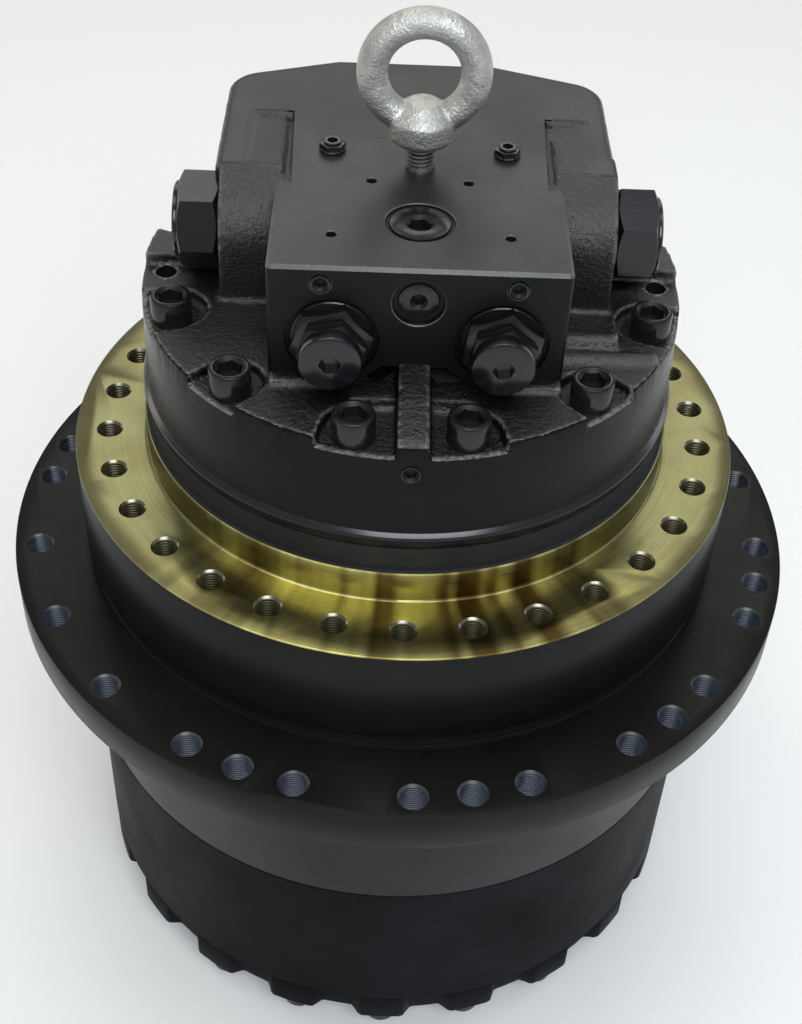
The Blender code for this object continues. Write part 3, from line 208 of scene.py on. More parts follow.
def copies(bm, matrices):
    """Repeat a working mesh at each matrix."""
    mesh = as_mesh(bm)
    pattern = bmesh.new()
    for matrix in matrices:
        piece = bmesh.new()
        piece.from_mesh(mesh)
        moved(piece, matrix)
        placed = as_mesh(piece)
        pattern.from_mesh(placed)
        bpy.data.meshes.remove(placed)
    bpy.data.meshes.remove(mesh)
    return pattern


def dyed(bm, slot):
    """Mark all faces with a material slot, which a Boolean keeps."""
    for face in bm.faces:
        face.material_index = slot
    return bm


def bench_object(bm):
    mesh = as_mesh(bm)
    for _ in range(SLOTS):
        mesh.materials.append(None)
    obj = bpy.data.objects.new("work", mesh)
    bpy.context.scene.collection.objects.link(obj)
    return obj


def evaluated(obj):
    """Apply an object's modifiers and give its mesh back as a working mesh."""
    graph = bpy.context.evaluated_depsgraph_get()
    shaped = bpy.data.meshes.new_from_object(obj.evaluated_get(graph))
    bm = bmesh.new()
    bm.from_mesh(shaped)
    bpy.data.meshes.remove(shaped)
    bpy.data.objects.remove(obj)
    return bm


def shaped_by(bm, tool, operation):
    body = bench_object(bm)
    cutter = bench_object(tool)
    modifier = body.modifiers.new("cut", "BOOLEAN")
    modifier.operation = operation
    modifier.solver = "EXACT"
    modifier.object = cutter
    result = evaluated(body)
    bpy.data.objects.remove(cutter)
    bmesh.ops.dissolve_limit(result, angle_limit=math.radians(0.05), verts=result.verts,
                             edges=result.edges, use_dissolve_boundaries=False,
                             delimit={"MATERIAL"})
    return result


def cut(bm, *tools):
    return shaped_by(bm, joined(tools), "DIFFERENCE")


def fused(bm, *tools):
    for tool in tools:
        bm = shaped_by(bm, tool, "UNION")
    return bm


def around(radius, degrees):
    angle = math.radians(degrees)
    return (radius * math.cos(angle), radius * math.sin(angle))


def hexagon(across_flats, turn=0.0):
    return [around(across_flats / math.sqrt(3), turn + 60 * i) for i in range(6)]


def keep(name, bm, materials, body, stands_for=(), smooth=32):
    """Turn a working mesh into a finished piece that rides on a body."""
    mesh = as_mesh(bm, name)
    for material in materials:
        mesh.materials.append(material)
    mesh.shade_smooth()
    mesh.set_sharp_from_angle(angle=math.radians(smooth))
    piece = bpy.data.objects.new(name, mesh)
    bpy.context.scene.collection.objects.link(piece)
    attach(piece, body)
    if stands_for:
        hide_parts(*stands_for)
    print("%s: %d faces" % (name, len(mesh.polygons)))
    return piece


# %% [markdown]
# ## Shader groups
# Four effects come back on many surfaces: the skin of a sand casting, the fine rings that a
# lathe leaves, the film of sprayed paint, and a highlight painted brighter on the high edges.
# Each is built once as a node group. They read Object coordinates, so the grain stays put on the
# metal
# and has a true size: a scale of 1000 means about one grain to the millimetre. The turning marks
# also tell sectors round a face, on which the gold face's reflections are painted, and how far a
# point lies to the front.

# %% Helpers for node trees
def add(tree, kind, inputs=None, **settings):
    """Place a node, set it, and link or fill its inputs."""
    node = tree.nodes.new("ShaderNode" + kind)
    for name, value in settings.items():
        setattr(node, name, value)
    for socket, value in (inputs or {}).items():
        if isinstance(value, bpy.types.NodeSocket):
            tree.links.new(value, node.inputs[socket])
        else:
            node.inputs[socket].default_value = value
    return node


def maths(tree, operation, first, second=0.0, third=0.0):
    node = add(tree, "Math", {0: first, 1: second, 2: third}, operation=operation)
    return node.outputs[0]


def spread(tree, value, from_low, from_high, to_low=0.0, to_high=1.0):
    """Stretch a range of values to another and hold it at the ends."""
    node = add(tree, "MapRange", {"Value": value, "From Min": from_low, "From Max": from_high,
                                  "To Min": to_low, "To Max": to_high}, clamp=True)
    return node.outputs[0]


def new_group(name, inputs, outputs):
    """An empty group with its named values; returns the tree and both ends' sockets."""
    tree = bpy.data.node_groups.new(name, "ShaderNodeTree")
    for direction, sockets in (("INPUT", inputs), ("OUTPUT", outputs)):
        for socket in sockets:
            tree.interface.new_socket(name=socket, in_out=direction,
                                      socket_type="NodeSocketFloat")
    given = tree.nodes.new("NodeGroupInput")
    result = tree.nodes.new("NodeGroupOutput")
    return tree, given.outputs, result.inputs


def object_place(tree):
    return tree.nodes.new("ShaderNodeTexCoord").outputs["Object"]


def noise(tree, place, scale, detail, roughness=0.5):
    return add(tree, "TexNoise", {"Vector": place, "Scale": scale, "Detail": detail,
                                  "Roughness": roughness}).outputs["Fac"]


# %% Build the four groups
def cast_skin_group():
    tree, given, result = new_group("cast_skin", ("Grain", "Lumps"), (
        "Height", "Mottle", "Fleck"))
    place = object_place(tree)
    grain = noise(tree, place, given["Grain"], 4.0, 0.6)
    lumps = noise(tree, place, given["Lumps"], 3.0)
    tree.links.new(maths(tree, "MULTIPLY_ADD", lumps, 1.2, grain), result["Height"])
    tree.links.new(spread(tree, noise(tree, place, 38.0, 5.0, 0.65), 0.35, 0.68),
                   result["Mottle"])
    fleck = noise(tree, place, maths(tree, "MULTIPLY", given["Grain"], 1.7), 1.0)
    tree.links.new(spread(tree, fleck, 0.70, 0.78), result["Fleck"])
    return tree


def turning_marks_group():
    tree, given, result = new_group("turning_marks", ("Rings", "Sweep"), (
        "Height", "Ring", "ReflectionSector", "Front"))
    parts = add(tree, "SeparateXYZ", {"Vector": object_place(tree)}).outputs
    radius = maths(tree, "SQRT", maths(tree, "ADD", maths(tree, "MULTIPLY", parts[0], parts[0]),
                                       maths(tree, "MULTIPLY", parts[1], parts[1])))
    safe = maths(tree, "MAXIMUM", radius, 0.0001)
    cosine = maths(tree, "DIVIDE", parts[0], safe)
    sine = maths(tree, "DIVIDE", parts[1], safe)
    reach = maths(tree, "ADD", radius, parts[2])
    rings = add(tree, "CombineXYZ", {0: maths(tree, "MULTIPLY", reach, given["Rings"]),
                                     1: cosine, 2: sine}).outputs[0]
    ring = noise(tree, rings, 1.0, 2.0)
    tree.links.new(ring, result["Height"])
    tree.links.new(spread(tree, ring, 0.3, 0.7), result["Ring"])
    sweep = given["Sweep"]
    # Noise round the face, for the sectors on which reflections are painted.
    sector = add(tree, "CombineXYZ", {0: maths(tree, "MULTIPLY", cosine, sweep),
                                      1: maths(tree, "MULTIPLY", sine, sweep),
                                      2: maths(tree, "MULTIPLY", reach, 1.5)}).outputs[0]
    tree.links.new(spread(tree, noise(tree, sector, 1.0, 2.0), 0.38, 0.62), result["ReflectionSector"])
    # How far a point lies to the front, where the painted reflections go.
    tree.links.new(spread(tree, sine, -0.62, -0.90), result["Front"])
    return tree


def paint_film_group():
    tree, given, result = new_group("paint_film", ("Peel", "Patches"), (
        "Height", "Mottle", "Speck"))
    place = object_place(tree)
    tree.links.new(noise(tree, place, given["Peel"], 2.0), result["Height"])
    tree.links.new(spread(tree, noise(tree, place, given["Patches"], 5.0, 0.6), 0.32, 0.68),
                   result["Mottle"])
    tree.links.new(spread(tree, noise(tree, place, 1100.0, 0.0), 0.74, 0.80), result["Speck"])
    return tree


def edge_highlight_group():
    tree, _, result = new_group("painted_edge_highlight", (), ("Mask",))
    edge_highlight = add(tree, "Attribute", attribute_name="edge_highlight").outputs["Fac"]
    broken = noise(tree, object_place(tree), 260.0, 3.0, 0.6)
    # Mask for a highlight painted on the convex edges, broken up by noise.
    mask = maths(tree, "MULTIPLY", edge_highlight, spread(tree, broken, 0.36, 0.62, 0.25, 1.0))
    tree.links.new(mask, result["Mask"])
    return tree


CAST_SKIN = cast_skin_group()
TURNING_MARKS = turning_marks_group()
PAINT_FILM = paint_film_group()
EDGE_HIGHLIGHT = edge_highlight_group()
print("groups:", [group.name for group in bpy.data.node_groups])

# %% [markdown]
# ## Finishes
# The drive is primed and sprayed black after assembly, with the mounting face masked. So the
# turned walls carry a thin satin film over fine turning marks, the castings a thicker film over
# sand skin, and the frame flange shows yellow passivated steel. Inside are ground gears, races
# and bronze. Each finish is one function of a few values, so neighbours can differ a little.


# %% Helpers for finishes
def new_finish(name, metallic, roughness, specular=0.5):
    """A material with its Principled shader set; returns material, tree and shader."""
    material = bpy.data.materials.new(name)
    material.use_nodes = True
    tree = material.node_tree
    shader = tree.nodes["Principled BSDF"]
    shader.inputs["Metallic"].default_value = metallic
    shader.inputs["Roughness"].default_value = roughness
    shader.inputs["Specular IOR Level"].default_value = specular
    return material, tree, shader


def group_node(tree, group, **values):
    node = tree.nodes.new("ShaderNodeGroup")
    node.node_tree = group
    for socket, value in values.items():
        node.inputs[socket].default_value = value
    return node.outputs


def two_tone(tree, factor, dark, light):
    """Blend two colours, or links to colours, by a mask."""
    node = add(tree, "Mix", {"Factor": factor}, data_type="RGBA")
    for socket, colour in ((6, dark), (7, light)):
        if isinstance(colour, bpy.types.NodeSocket):
            tree.links.new(colour, node.inputs[socket])
        else:
            node.inputs[socket].default_value = (*colour, 1.0)
    return node.outputs[2]


def bumped(tree, shader, height, distance, strength=0.6):
    bump = add(tree, "Bump", {"Height": height, "Distance": distance, "Strength": strength})
    tree.links.new(bump.outputs[0], shader.inputs["Normal"])


def connect(tree, shader, colour, roughness=None):
    tree.links.new(colour, shader.inputs["Base Color"])
    if roughness is not None:
        tree.links.new(roughness, shader.inputs["Roughness"])


# %% Painted and cast finishes
def painted(name, dark, light, roughness, specular, peel, rings=0.0):
    """Satin paint over a machined surface, with a trace of the turning marks under it."""
    material, tree, shader = new_finish(name, 0.0, roughness, specular)
    film = group_node(tree, PAINT_FILM, Peel=650.0, Patches=11.0)
    marks = group_node(tree, TURNING_MARKS, Rings=900.0, Sweep=2.0)
    colour = two_tone(tree, film["Mottle"], dark, light)
    speckled = two_tone(tree, film["Speck"], colour, tuple(1.7 * value for value in light))
    rough = spread(tree, film["Mottle"], 0.0, 1.0, roughness * 1.15, roughness * 0.85)
    connect(tree, shader, speckled, rough)
    height = maths(tree, "MULTIPLY_ADD", marks["Height"], rings, film["Height"])
    bumped(tree, shader, height, peel)
    return material


def cast_painted(name, dark, light, roughness, bump, edge):
    """Thick paint over sand-cast skin, with a highlight painted brighter on its high edges."""
    material, tree, shader = new_finish(name, 0.0, roughness, 0.75)
    skin = group_node(tree, CAST_SKIN, Grain=760.0, Lumps=330.0)
    edge_highlight = group_node(tree, EDGE_HIGHLIGHT)["Mask"]
    colour = two_tone(tree, skin["Mottle"], dark, light)
    flecked = two_tone(tree, skin["Fleck"], colour, tuple(3 * value for value in light))
    # The high edges take the edge colour: a painted highlight.
    highlighted = two_tone(tree, edge_highlight, flecked, edge)
    rough = spread(tree, skin["Mottle"], 0.0, 1.0, roughness * 1.2, roughness * 0.8)
    connect(tree, shader, highlighted, rough)
    bumped(tree, shader, skin["Height"], bump, 0.9)
    return material


DARK_PAINT = ((0.0035, 0.0035, 0.0045), (0.0075, 0.0075, 0.0095))
WALL_BLACK = painted("satin_black_wall", *DARK_PAINT, roughness=0.27, specular=0.10,
                     peel=0.00005, rings=1.5)
FLARE_BLACK = painted("glossy_black_flare", *DARK_PAINT, roughness=0.22, specular=0.60,
                      peel=0.00004)
DRUM_BLACK = painted("satin_black_drum", (0.0045, 0.0045, 0.0055), (0.0085, 0.0085, 0.0110),
                     roughness=0.50, specular=0.04, peel=0.00005, rings=1.5)
FLANGE_BLACK = painted("satin_black_flange", (0.004, 0.004, 0.004), (0.009, 0.009, 0.008),
                       roughness=0.34, specular=0.13, peel=0.00006, rings=1.0)
# The tops of plate and block get a lighter black than the sides of the same paint: a painted
# sheen.
TOP_SHEEN_BLACK = painted("satin_black_top_painted_sheen", (0.012, 0.012, 0.012), (0.021, 0.021, 0.021),
                      roughness=0.40, specular=0.42, peel=0.00008)
FRONT_BLACK = painted("smooth_black_front", (0.0035, 0.0035, 0.0040), (0.0075, 0.0075, 0.0085),
                      roughness=0.34, specular=0.14, peel=0.00007)
NECK_BLACK = painted("matte_black_neck", (0.010, 0.010, 0.011), (0.016, 0.016, 0.018),
                     roughness=0.58, specular=0.25, peel=0.00008, rings=1.0)
# The edge colour of each cast finish is a highlight painted on its high edges.
CAST_BLACK = cast_painted("rough_cast_black", (0.002, 0.002, 0.002), (0.006, 0.006, 0.005),
                          roughness=0.13, bump=0.0008, edge=(0.17, 0.17, 0.16))
# A lighter black on chamfers, countersinks and port rims: a painted highlight.
CHAMFER_HIGHLIGHT = painted("chamfer_painted_highlight", (0.055, 0.055, 0.052), (0.11, 0.11, 0.105),
                     roughness=0.34, specular=0.5, peel=0.00008)
SINK_BLACK = painted("painted_chamfer", (0.020, 0.021, 0.024), (0.045, 0.047, 0.052),
                     roughness=0.34, specular=0.5, peel=0.00006)


# %% Bare and passivated metals
def passivated():
    """Yellow passivated steel of the mounting face: rings from the lathe, broad stains, and light
    and dark sectors on its front that are painted reflections.
    """
    material, tree, shader = new_finish("gold_passivated_face", 1.0, 0.30)
    shader.inputs["Anisotropic"].default_value = 0.6
    marks = group_node(tree, TURNING_MARKS, Rings=1300.0, Sweep=9.0)
    film = group_node(tree, PAINT_FILM, Peel=900.0, Patches=30.0)
    # Bright yellow and dark brown sectors, laid on the front of the face: painted reflections.
    painted_reflection = two_tone(tree, marks["ReflectionSector"], (0.12, 0.080, 0.026), (0.62, 0.57, 0.22))
    plain = two_tone(tree, film["Mottle"], (0.21, 0.19, 0.085), (0.26, 0.25, 0.125))
    base_tone = two_tone(tree, marks["Front"], plain, painted_reflection)
    rough = spread(tree, marks["Ring"], 0.0, 1.0, 0.26, 0.34)
    connect(tree, shader, base_tone, rough)
    bumped(tree, shader, marks["Height"], 0.00002, 0.4)
    return material


def bare_metal(name, dark, light, roughness):
    """Machined or ground metal with tool marks and a little staining."""
    material, tree, shader = new_finish(name, 1.0, roughness)
    marks = group_node(tree, TURNING_MARKS, Rings=1500.0, Sweep=3.0)
    film = group_node(tree, PAINT_FILM, Peel=900.0, Patches=55.0)
    ringed = two_tone(tree, marks["Ring"], dark, light)
    base_tone = two_tone(tree, film["Mottle"], ringed, tuple(0.8 * value for value in light))
    rough = spread(tree, film["Mottle"], 0.0, 1.0, roughness * 0.8, roughness * 1.25)
    connect(tree, shader, base_tone, rough)
    bumped(tree, shader, marks["Height"], 0.00003, 0.5)
    return material


def threaded(name, dark, light):
    """Wall of a tapped hole: the thread is a band of rings, one to each pitch, with painted shade
    in its roots and lighter crests.
    """
    material, tree, shader = new_finish(name, 1.0, 0.32)
    parts = add(tree, "SeparateXYZ", {"Vector": object_place(tree)}).outputs
    turns = maths(tree, "MULTIPLY", parts[2], 1.0 / HOLE_PITCH)
    flank = maths(tree, "PINGPONG", turns, 0.5)
    # Dark at the roots and light at the crests: painted shade on a thread that is only a bump.
    connect(tree, shader, two_tone(tree, spread(tree, flank, 0.1, 0.45), dark, light))
    bumped(tree, shader, flank, HOLE_PITCH * 0.6, 1.0)
    return material


def galvanised():
    """Hot dip zinc on a forging: pale, dull and uneven."""
    material, tree, shader = new_finish("galvanised_forging", 1.0, 0.42)
    skin = group_node(tree, CAST_SKIN, Grain=620.0, Lumps=190.0)
    colour = two_tone(tree, skin["Mottle"], (0.42, 0.42, 0.40), (0.70, 0.70, 0.67))
    rough = spread(tree, skin["Mottle"], 0.0, 1.0, 0.50, 0.34)
    connect(tree, shader, colour, rough)
    bumped(tree, shader, skin["Height"], 0.0009, 0.8)
    return material


HOLE_PITCH = 0.002
GOLD = passivated()
BRIGHT_EDGE = bare_metal("bright_chamfer", (0.14, 0.13, 0.09), (0.27, 0.26, 0.20), 0.30)
GOLD_THREAD = threaded("thread_in_gold_flange", (0.06, 0.055, 0.04), (0.36, 0.34, 0.22))
# The blue-grey tone of the sprocket's hole walls is a painted reflection of blue light.
BLUE_THREAD = threaded("thread_in_sprocket_flange", (0.07, 0.08, 0.10), (0.30, 0.34, 0.42))
ZINC = galvanised()
# A darker zinc for the thread's roots: painted shade and dirt.
ZINC_ROOT_SHADE = bare_metal("thread_root_shade_and_dirt", (0.13, 0.13, 0.12), (0.26, 0.26, 0.25), 0.36)
GEAR = bare_metal("ground_gear_steel", (0.40, 0.40, 0.41), (0.52, 0.52, 0.53), 0.26)
STEEL = bare_metal("turned_steel", (0.46, 0.46, 0.47), (0.60, 0.60, 0.61), 0.30)
BRONZE = bare_metal("cast_bronze", (0.44, 0.28, 0.12), (0.60, 0.40, 0.18), 0.34)
GREY_IRON = cast_painted("bare_grey_iron", (0.10, 0.10, 0.11), (0.16, 0.16, 0.17),
                         roughness=0.55, bump=0.0008, edge=(0.22, 0.22, 0.22))
SCREW_BLACK = painted("black_oxide_screw", (0.004, 0.004, 0.005), (0.009, 0.009, 0.011),
                      roughness=0.19, specular=0.46, peel=0.00008)
SOCKET_BLACK = painted("deep_socket_black", (0.004, 0.004, 0.004), (0.008, 0.008, 0.008),
                       roughness=0.5, specular=0.3, peel=0.00006)
print("finishes:", len(bpy.data.materials))

# %% [markdown]
# ## Frame flange
# The machine's frame bolts to this flange of the fixed spindle: a thick disc with a ring of
# tapped holes, and a pilot that centres it. It could be a disc with a texture of holes, but the
# light in the countersinks tells that they are real, so the spindle's whole outline is spun and
# the holes are cut into it. The tool's own faces carry the slots for thread and chamfer.

# %% Turn the spindle and tap its thirty holes
FRAME_HOLES = 30
FRAME_HOLE_ORBIT = 0.190
FRAME_HOLE_R = 0.0072
FRAME_CHAMFER_R = 0.0084
FRAME_HOLE_DEPTH = 0.030
PILOT_R = 0.166
PILOT_TOP = FRAME_FACE + 0.0205
NECK_R = 0.163
SNOUT_R = 0.150
SNOUT_END = low["spindle_housing"].z
SHOULDER = SNOUT_END + 0.105
SEAL_CORE_R = 0.175
SEAL_POCKET_R = 0.193
MOTOR_R = 0.115
MOTOR_FLOOR = SNOUT_END + 0.055
SHAFT_BORE_R = 0.034
GOLD_SLOT, THREAD_SLOT, CHAMFER_SLOT, NECK_SLOT = 1, 2, 3, 4


def spindle_profile():
    return [(MOTOR_R, JOINT), (MOTOR_R, MOTOR_FLOOR), (SHAFT_BORE_R, MOTOR_FLOOR),
            (SHAFT_BORE_R, SNOUT_END), (SNOUT_R, SNOUT_END), (SNOUT_R, SHOULDER),
            (SNOUT_R + 0.007, SHOULDER), (SNOUT_R + 0.007, FRAME_BOTTOM - 0.005),
            (SEAL_CORE_R, FRAME_BOTTOM - 0.005), (SEAL_CORE_R, FRAME_BOTTOM + 0.016),
            (SEAL_POCKET_R, FRAME_BOTTOM + 0.016), (SEAL_POCKET_R, FRAME_BOTTOM),
            (FRAME_R, FRAME_BOTTOM), (FRAME_R, FRAME_FACE), (PILOT_R + 0.0012, FRAME_FACE),
            (PILOT_R, FRAME_FACE + 0.0012), (PILOT_R, PILOT_TOP), (NECK_R, PILOT_TOP + 0.001),
            (NECK_R, JOINT)]


def tapped_hole(radius, chamfer_radius, face, bottom):
    """Tool for a tapped hole: a drill with the thread's wall, and a countersink."""
    drill = dyed(rod(radius, bottom, face + 0.002), THREAD_SLOT)
    sink = chamfer_radius - radius
    cone = rod(radius - 0.001, face - sink - 0.001, face + 0.001,
               top_radius=chamfer_radius + 0.001)
    return fused(drill, dyed(cone, CHAMFER_SLOT))


def ring_of(orbit, start, grid, places=None):
    """Matrices round a circle, one at each step of a grid or only at some of its places."""
    return [at(*around(orbit, start + 360 * place / grid)) for place in places or range(grid)]


def frame_flange():
    body = turned(spindle_profile())
    rounded(body, 0.0011, 2, lambda edge: edge.verts[0].co.xy.length > PILOT_R - 0.0005)
    hole = tapped_hole(FRAME_HOLE_R, FRAME_CHAMFER_R, FRAME_FACE, FRAME_FACE - FRAME_HOLE_DEPTH)
    body = cut(body, copies(hole, ring_of(FRAME_HOLE_ORBIT, -90, FRAME_HOLES)))
    for face in body.faces:
        centre = face.calc_center_median()
        if face.material_index:
            continue
        if FRAME_FACE - 0.0013 < centre.z < PILOT_TOP + 0.0004:
            face.material_index = GOLD_SLOT
        elif centre.z > PILOT_TOP:
            face.material_index = NECK_SLOT
    return keep("frame_flange", body, [FLANGE_BLACK, GOLD, GOLD_THREAD, BRIGHT_EDGE, NECK_BLACK],
                "spindle", ["spindle_housing"])


frame_flange()

# %% [markdown]
# ## Hub with the sprocket flange
# The hub turns on the spindle and carries the sprocket. Its bolt circle is uneven: screws sit
# close together in some places, and a few stay free. The collar above the flange has two fine
# grooves where the seal's guard sits.

# %% Turn the hub and cut its bolt circle
SPROCKET_ORBIT = 0.2435
SPROCKET_HOLE_R = 0.0080
SPROCKET_CHAMFER_R = 0.0094
SPROCKET_PHASE = -120.6
SPROCKET_GRID = 44
SPROCKET_PLACES = (-20, -18, -16, -14, -12, -10, -9, -8, -6, -4, -2, 0, 1, 2, 4, 5, 6,
                   8, 9, 10, 12, 13, 14, 16, 17, 18, 20, 21, 22)
COLLAR_FOOT_R = 0.2095
COLLAR_TOP_R = COLLAR_FOOT_R - 0.0038
COLLAR_GROOVE = 0.0007
BEARING_R = 0.176
BEARING_W = 0.033
LOWER_BEARING = SNOUT_END + 0.012
UPPER_BEARING = LOWER_BEARING + BEARING_W + 0.027


def collar_profile():
    """Sloping collar with two shallow grooves, from its top down to the flange."""
    height = HUB_TOP - SPROCKET_TOP
    points = []
    for share, grooved in ((0.0, 0), (0.22, 0), (0.26, 1), (0.34, 1), (0.38, 0),
                           (0.66, 0), (0.70, 1), (0.78, 1), (0.82, 0), (1.0, 0)):
        radius = COLLAR_TOP_R + (COLLAR_FOOT_R - COLLAR_TOP_R) * share - COLLAR_GROOVE * grooved
        points.append((radius, HUB_TOP - height * share))
    return points


def turning_hub():
    shoulder_r = BEARING_R - 0.008
    profile = collar_profile() + [
        (SPROCKET_R, SPROCKET_TOP), (SPROCKET_R, SPROCKET_BOTTOM), (DRUM_R, SPROCKET_BOTTOM),
        (DRUM_R, HUB_BOTTOM), (BEARING_R, HUB_BOTTOM), (BEARING_R, LOWER_BEARING + BEARING_W),
        (shoulder_r, LOWER_BEARING + BEARING_W), (shoulder_r, UPPER_BEARING),
        (BEARING_R, UPPER_BEARING), (BEARING_R, SPROCKET_TOP - 0.008),
        (SEAL_POCKET_R, SPROCKET_TOP - 0.008), (SEAL_POCKET_R, HUB_TOP)]
    body = turned(profile)
    rounded(body, 0.0008, 2, lambda edge: edge.verts[0].co.xy.length > DRUM_R - 0.0005)
    hole = tapped_hole(SPROCKET_HOLE_R, SPROCKET_CHAMFER_R, SPROCKET_TOP, SPROCKET_BOTTOM - 0.002)
    body = cut(body, copies(hole, ring_of(SPROCKET_ORBIT, SPROCKET_PHASE, SPROCKET_GRID,
                                          SPROCKET_PLACES)))
    return keep("turning_hub", body, [FLANGE_BLACK, DRUM_BLACK, BLUE_THREAD, SINK_BLACK],
                "hub", ["sprocket_hub"])


turning_hub()

# %% [markdown]
# ## Ring gear drum
# The ring gear is one thick ring: teeth inside, a smooth painted wall outside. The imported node
# has the true teeth but a coarse wall. So its teeth are kept, drawn in to a thin toothed ring,
# and a smooth sleeve is turned round them.

# %% Sleeve and teeth of the ring gear
TOOTH_RING_R = 0.1860
RING_STEP = RING_BOTTOM + 0.114
STEP_IN = 0.0006
DRUM_STEPS = 256


def drum_sleeve():
    inside = TOOTH_RING_R + 0.0001
    top = HUB_BOTTOM - GAP
    slim = DRUM_R - STEP_IN
    body = turned([(inside, RING_BOTTOM), (slim - 0.0008, RING_BOTTOM),
                   (slim, RING_BOTTOM + 0.0008), (slim, RING_STEP), (DRUM_R, RING_STEP + STEP_IN),
                   (DRUM_R, top - 0.0007), (DRUM_R - 0.0007, top), (inside, top)], DRUM_STEPS)
    return keep("drum_sleeve", body, [DRUM_BLACK], "hub", ["ring_gear"])


def ring_teeth():
    body = bmesh.new()
    body.from_mesh(frame["nodes"]["ring_gear"].data)
    tidy(body)
    for vert in body.verts:
        reach = vert.co.xy.length
        if reach > TOOTH_RING_R + 0.002:
            vert.co.xy *= TOOTH_RING_R / reach
    return keep("ring_teeth", body, [GEAR], "hub")


drum_sleeve()
ring_teeth()

# %% [markdown]
# ## End cover
# The cover closes the drum at the foot. Its rim waves in between the bolts to save weight: the
# wave is a formula of the angle, so one line of code draws all lobes. The underside is dished,
# with screw heads on the rim and a boss in the middle, on which the drive stands.

# %% Lobed rim, dish and screw heads
COVER_LOBES = 21
COVER_PHASE = -90.6
COVER_RIM = 0.024
COVER_BOLT_ORBIT = 0.200
COVER_PLUG_Y = 0.112
LOBE_FLAT, LOBE_SLOPE = 0.44, 0.26
LOBE_STEPS = 24
SCALLOP_DEPTH = 0.0076
DISH = 0.010
DISH_R, DISH_RIM_R = 0.166, 0.183
STAND_R = 0.0585
HOLLOW_R, BUTTON_R, COVER_PLUG_R = 0.160, 0.0183, 0.0103
BOLT_HEAD_R, BOLT_STEPS = 0.012, 24


def lobe_radius(degrees):
    """Radius of the rim at an angle: full at a bolt, drawn in between two."""
    share = ((degrees - COVER_PHASE) * COVER_LOBES / 360) % 1.0
    away = min(share, 1 - share) * 2
    blend = max(0.0, min(1.0, (away - LOBE_FLAT) / LOBE_SLOPE))
    return DRUM_R - STEP_IN - SCALLOP_DEPTH * blend * blend * (3 - 2 * blend)


def lobed_cover():
    steps = COVER_LOBES * LOBE_STEPS
    outline = [around(lobe_radius(360 * i / steps), 360 * i / steps) for i in range(steps)]
    body = raised(outline, COVER_RIM, RING_BOTTOM - GAP)
    rounded(body, 0.0012, 2, lambda edge: abs(edge.verts[0].co.z - edge.verts[1].co.z) < GAP, 60)
    dish = lathe([(STAND_R, 0.0), (STAND_R + 0.0055, 0.0050), (STAND_R + 0.0080, DISH),
                  (DISH_R, DISH), (DISH_RIM_R, COVER_RIM - GAP), (DISH_RIM_R, COVER_RIM + 0.006)],
                 BROAD)
    hollow = rod(HOLLOW_R, RING_BOTTOM - 0.008, RING_BOTTOM + 0.01, steps=BROAD)
    button = rod(BUTTON_R, RING_BOTTOM - 0.018, RING_BOTTOM)
    plug_holes = [rod(COVER_PLUG_R, DISH - 0.01, DISH + 0.013, (0.0, side * COVER_PLUG_Y))
                  for side in (1, -1)]
    body = cut(cut(fused(body, dish), hollow), button, *plug_holes)
    return keep("lobed_cover", body, [DRUM_BLACK], "hub", ["end_cover"])


def cover_bolts():
    head = lathe([(BOLT_HEAD_R - 0.0012, DISH), (BOLT_HEAD_R, DISH + 0.0012),
                  (BOLT_HEAD_R, COVER_RIM - GAP)], BOLT_STEPS)
    head = cut(head, raised(hexagon(0.014), DISH - 0.002, DISH + 0.008))
    bolts = copies(head, ring_of(COVER_BOLT_ORBIT, COVER_PHASE, COVER_LOBES))
    return keep("cover_bolts", bolts, [SCREW_BLACK], "hub")


lobed_cover()
cover_bolts()

# %% [markdown]
# ## Rear casing
# The rear cover is a rough sand casting with a machined port block on it. A casting has no
# sharp edge anywhere, and its walls flow into each other. Bevelling hundreds of edges by hand
# would take long, so the rough part is made from overlapping solids that a voxel remesh melts
# together; smoothing then rounds all edges as the sand mould does. The machined block stays a
# crisp mesh of its own.

# %% Turn the casing's wall
CASE_FOOT_R = 0.1654
CASE_TOP_R = CASE_FOOT_R - 0.0037
WALL_FOOT_R = CASE_FOOT_R - 0.0026
FLARE_BOTTOM = JOINT + 0.0088
FLARE_TOP = JOINT + 0.0116
WALL_SEAM = DECK - 0.020
LAP = 0.00005
WALL_PLUG_X, WALL_PLUG_Z = middle_of("side_plug", X), middle_of("side_plug", Z)
FLARE_SLOT = 1


def wall_radius(height):
    """Radius of the tapered wall at a height."""
    return WALL_FOOT_R + (CASE_TOP_R - WALL_FOOT_R) * (height - FLARE_TOP) / (DECK - FLARE_TOP)


def on_front_wall(bm):
    """Set a mesh made at the origin on the front of the wall, at the wall plug's place."""
    return moved(bm, at(WALL_PLUG_X, -wall_radius(WALL_PLUG_Z), WALL_PLUG_Z) @ FACING_FRONT)


def wall_bore():
    """Tool for the wall plug's hole."""
    return on_front_wall(rod(0.0058, -0.010, 0.004))


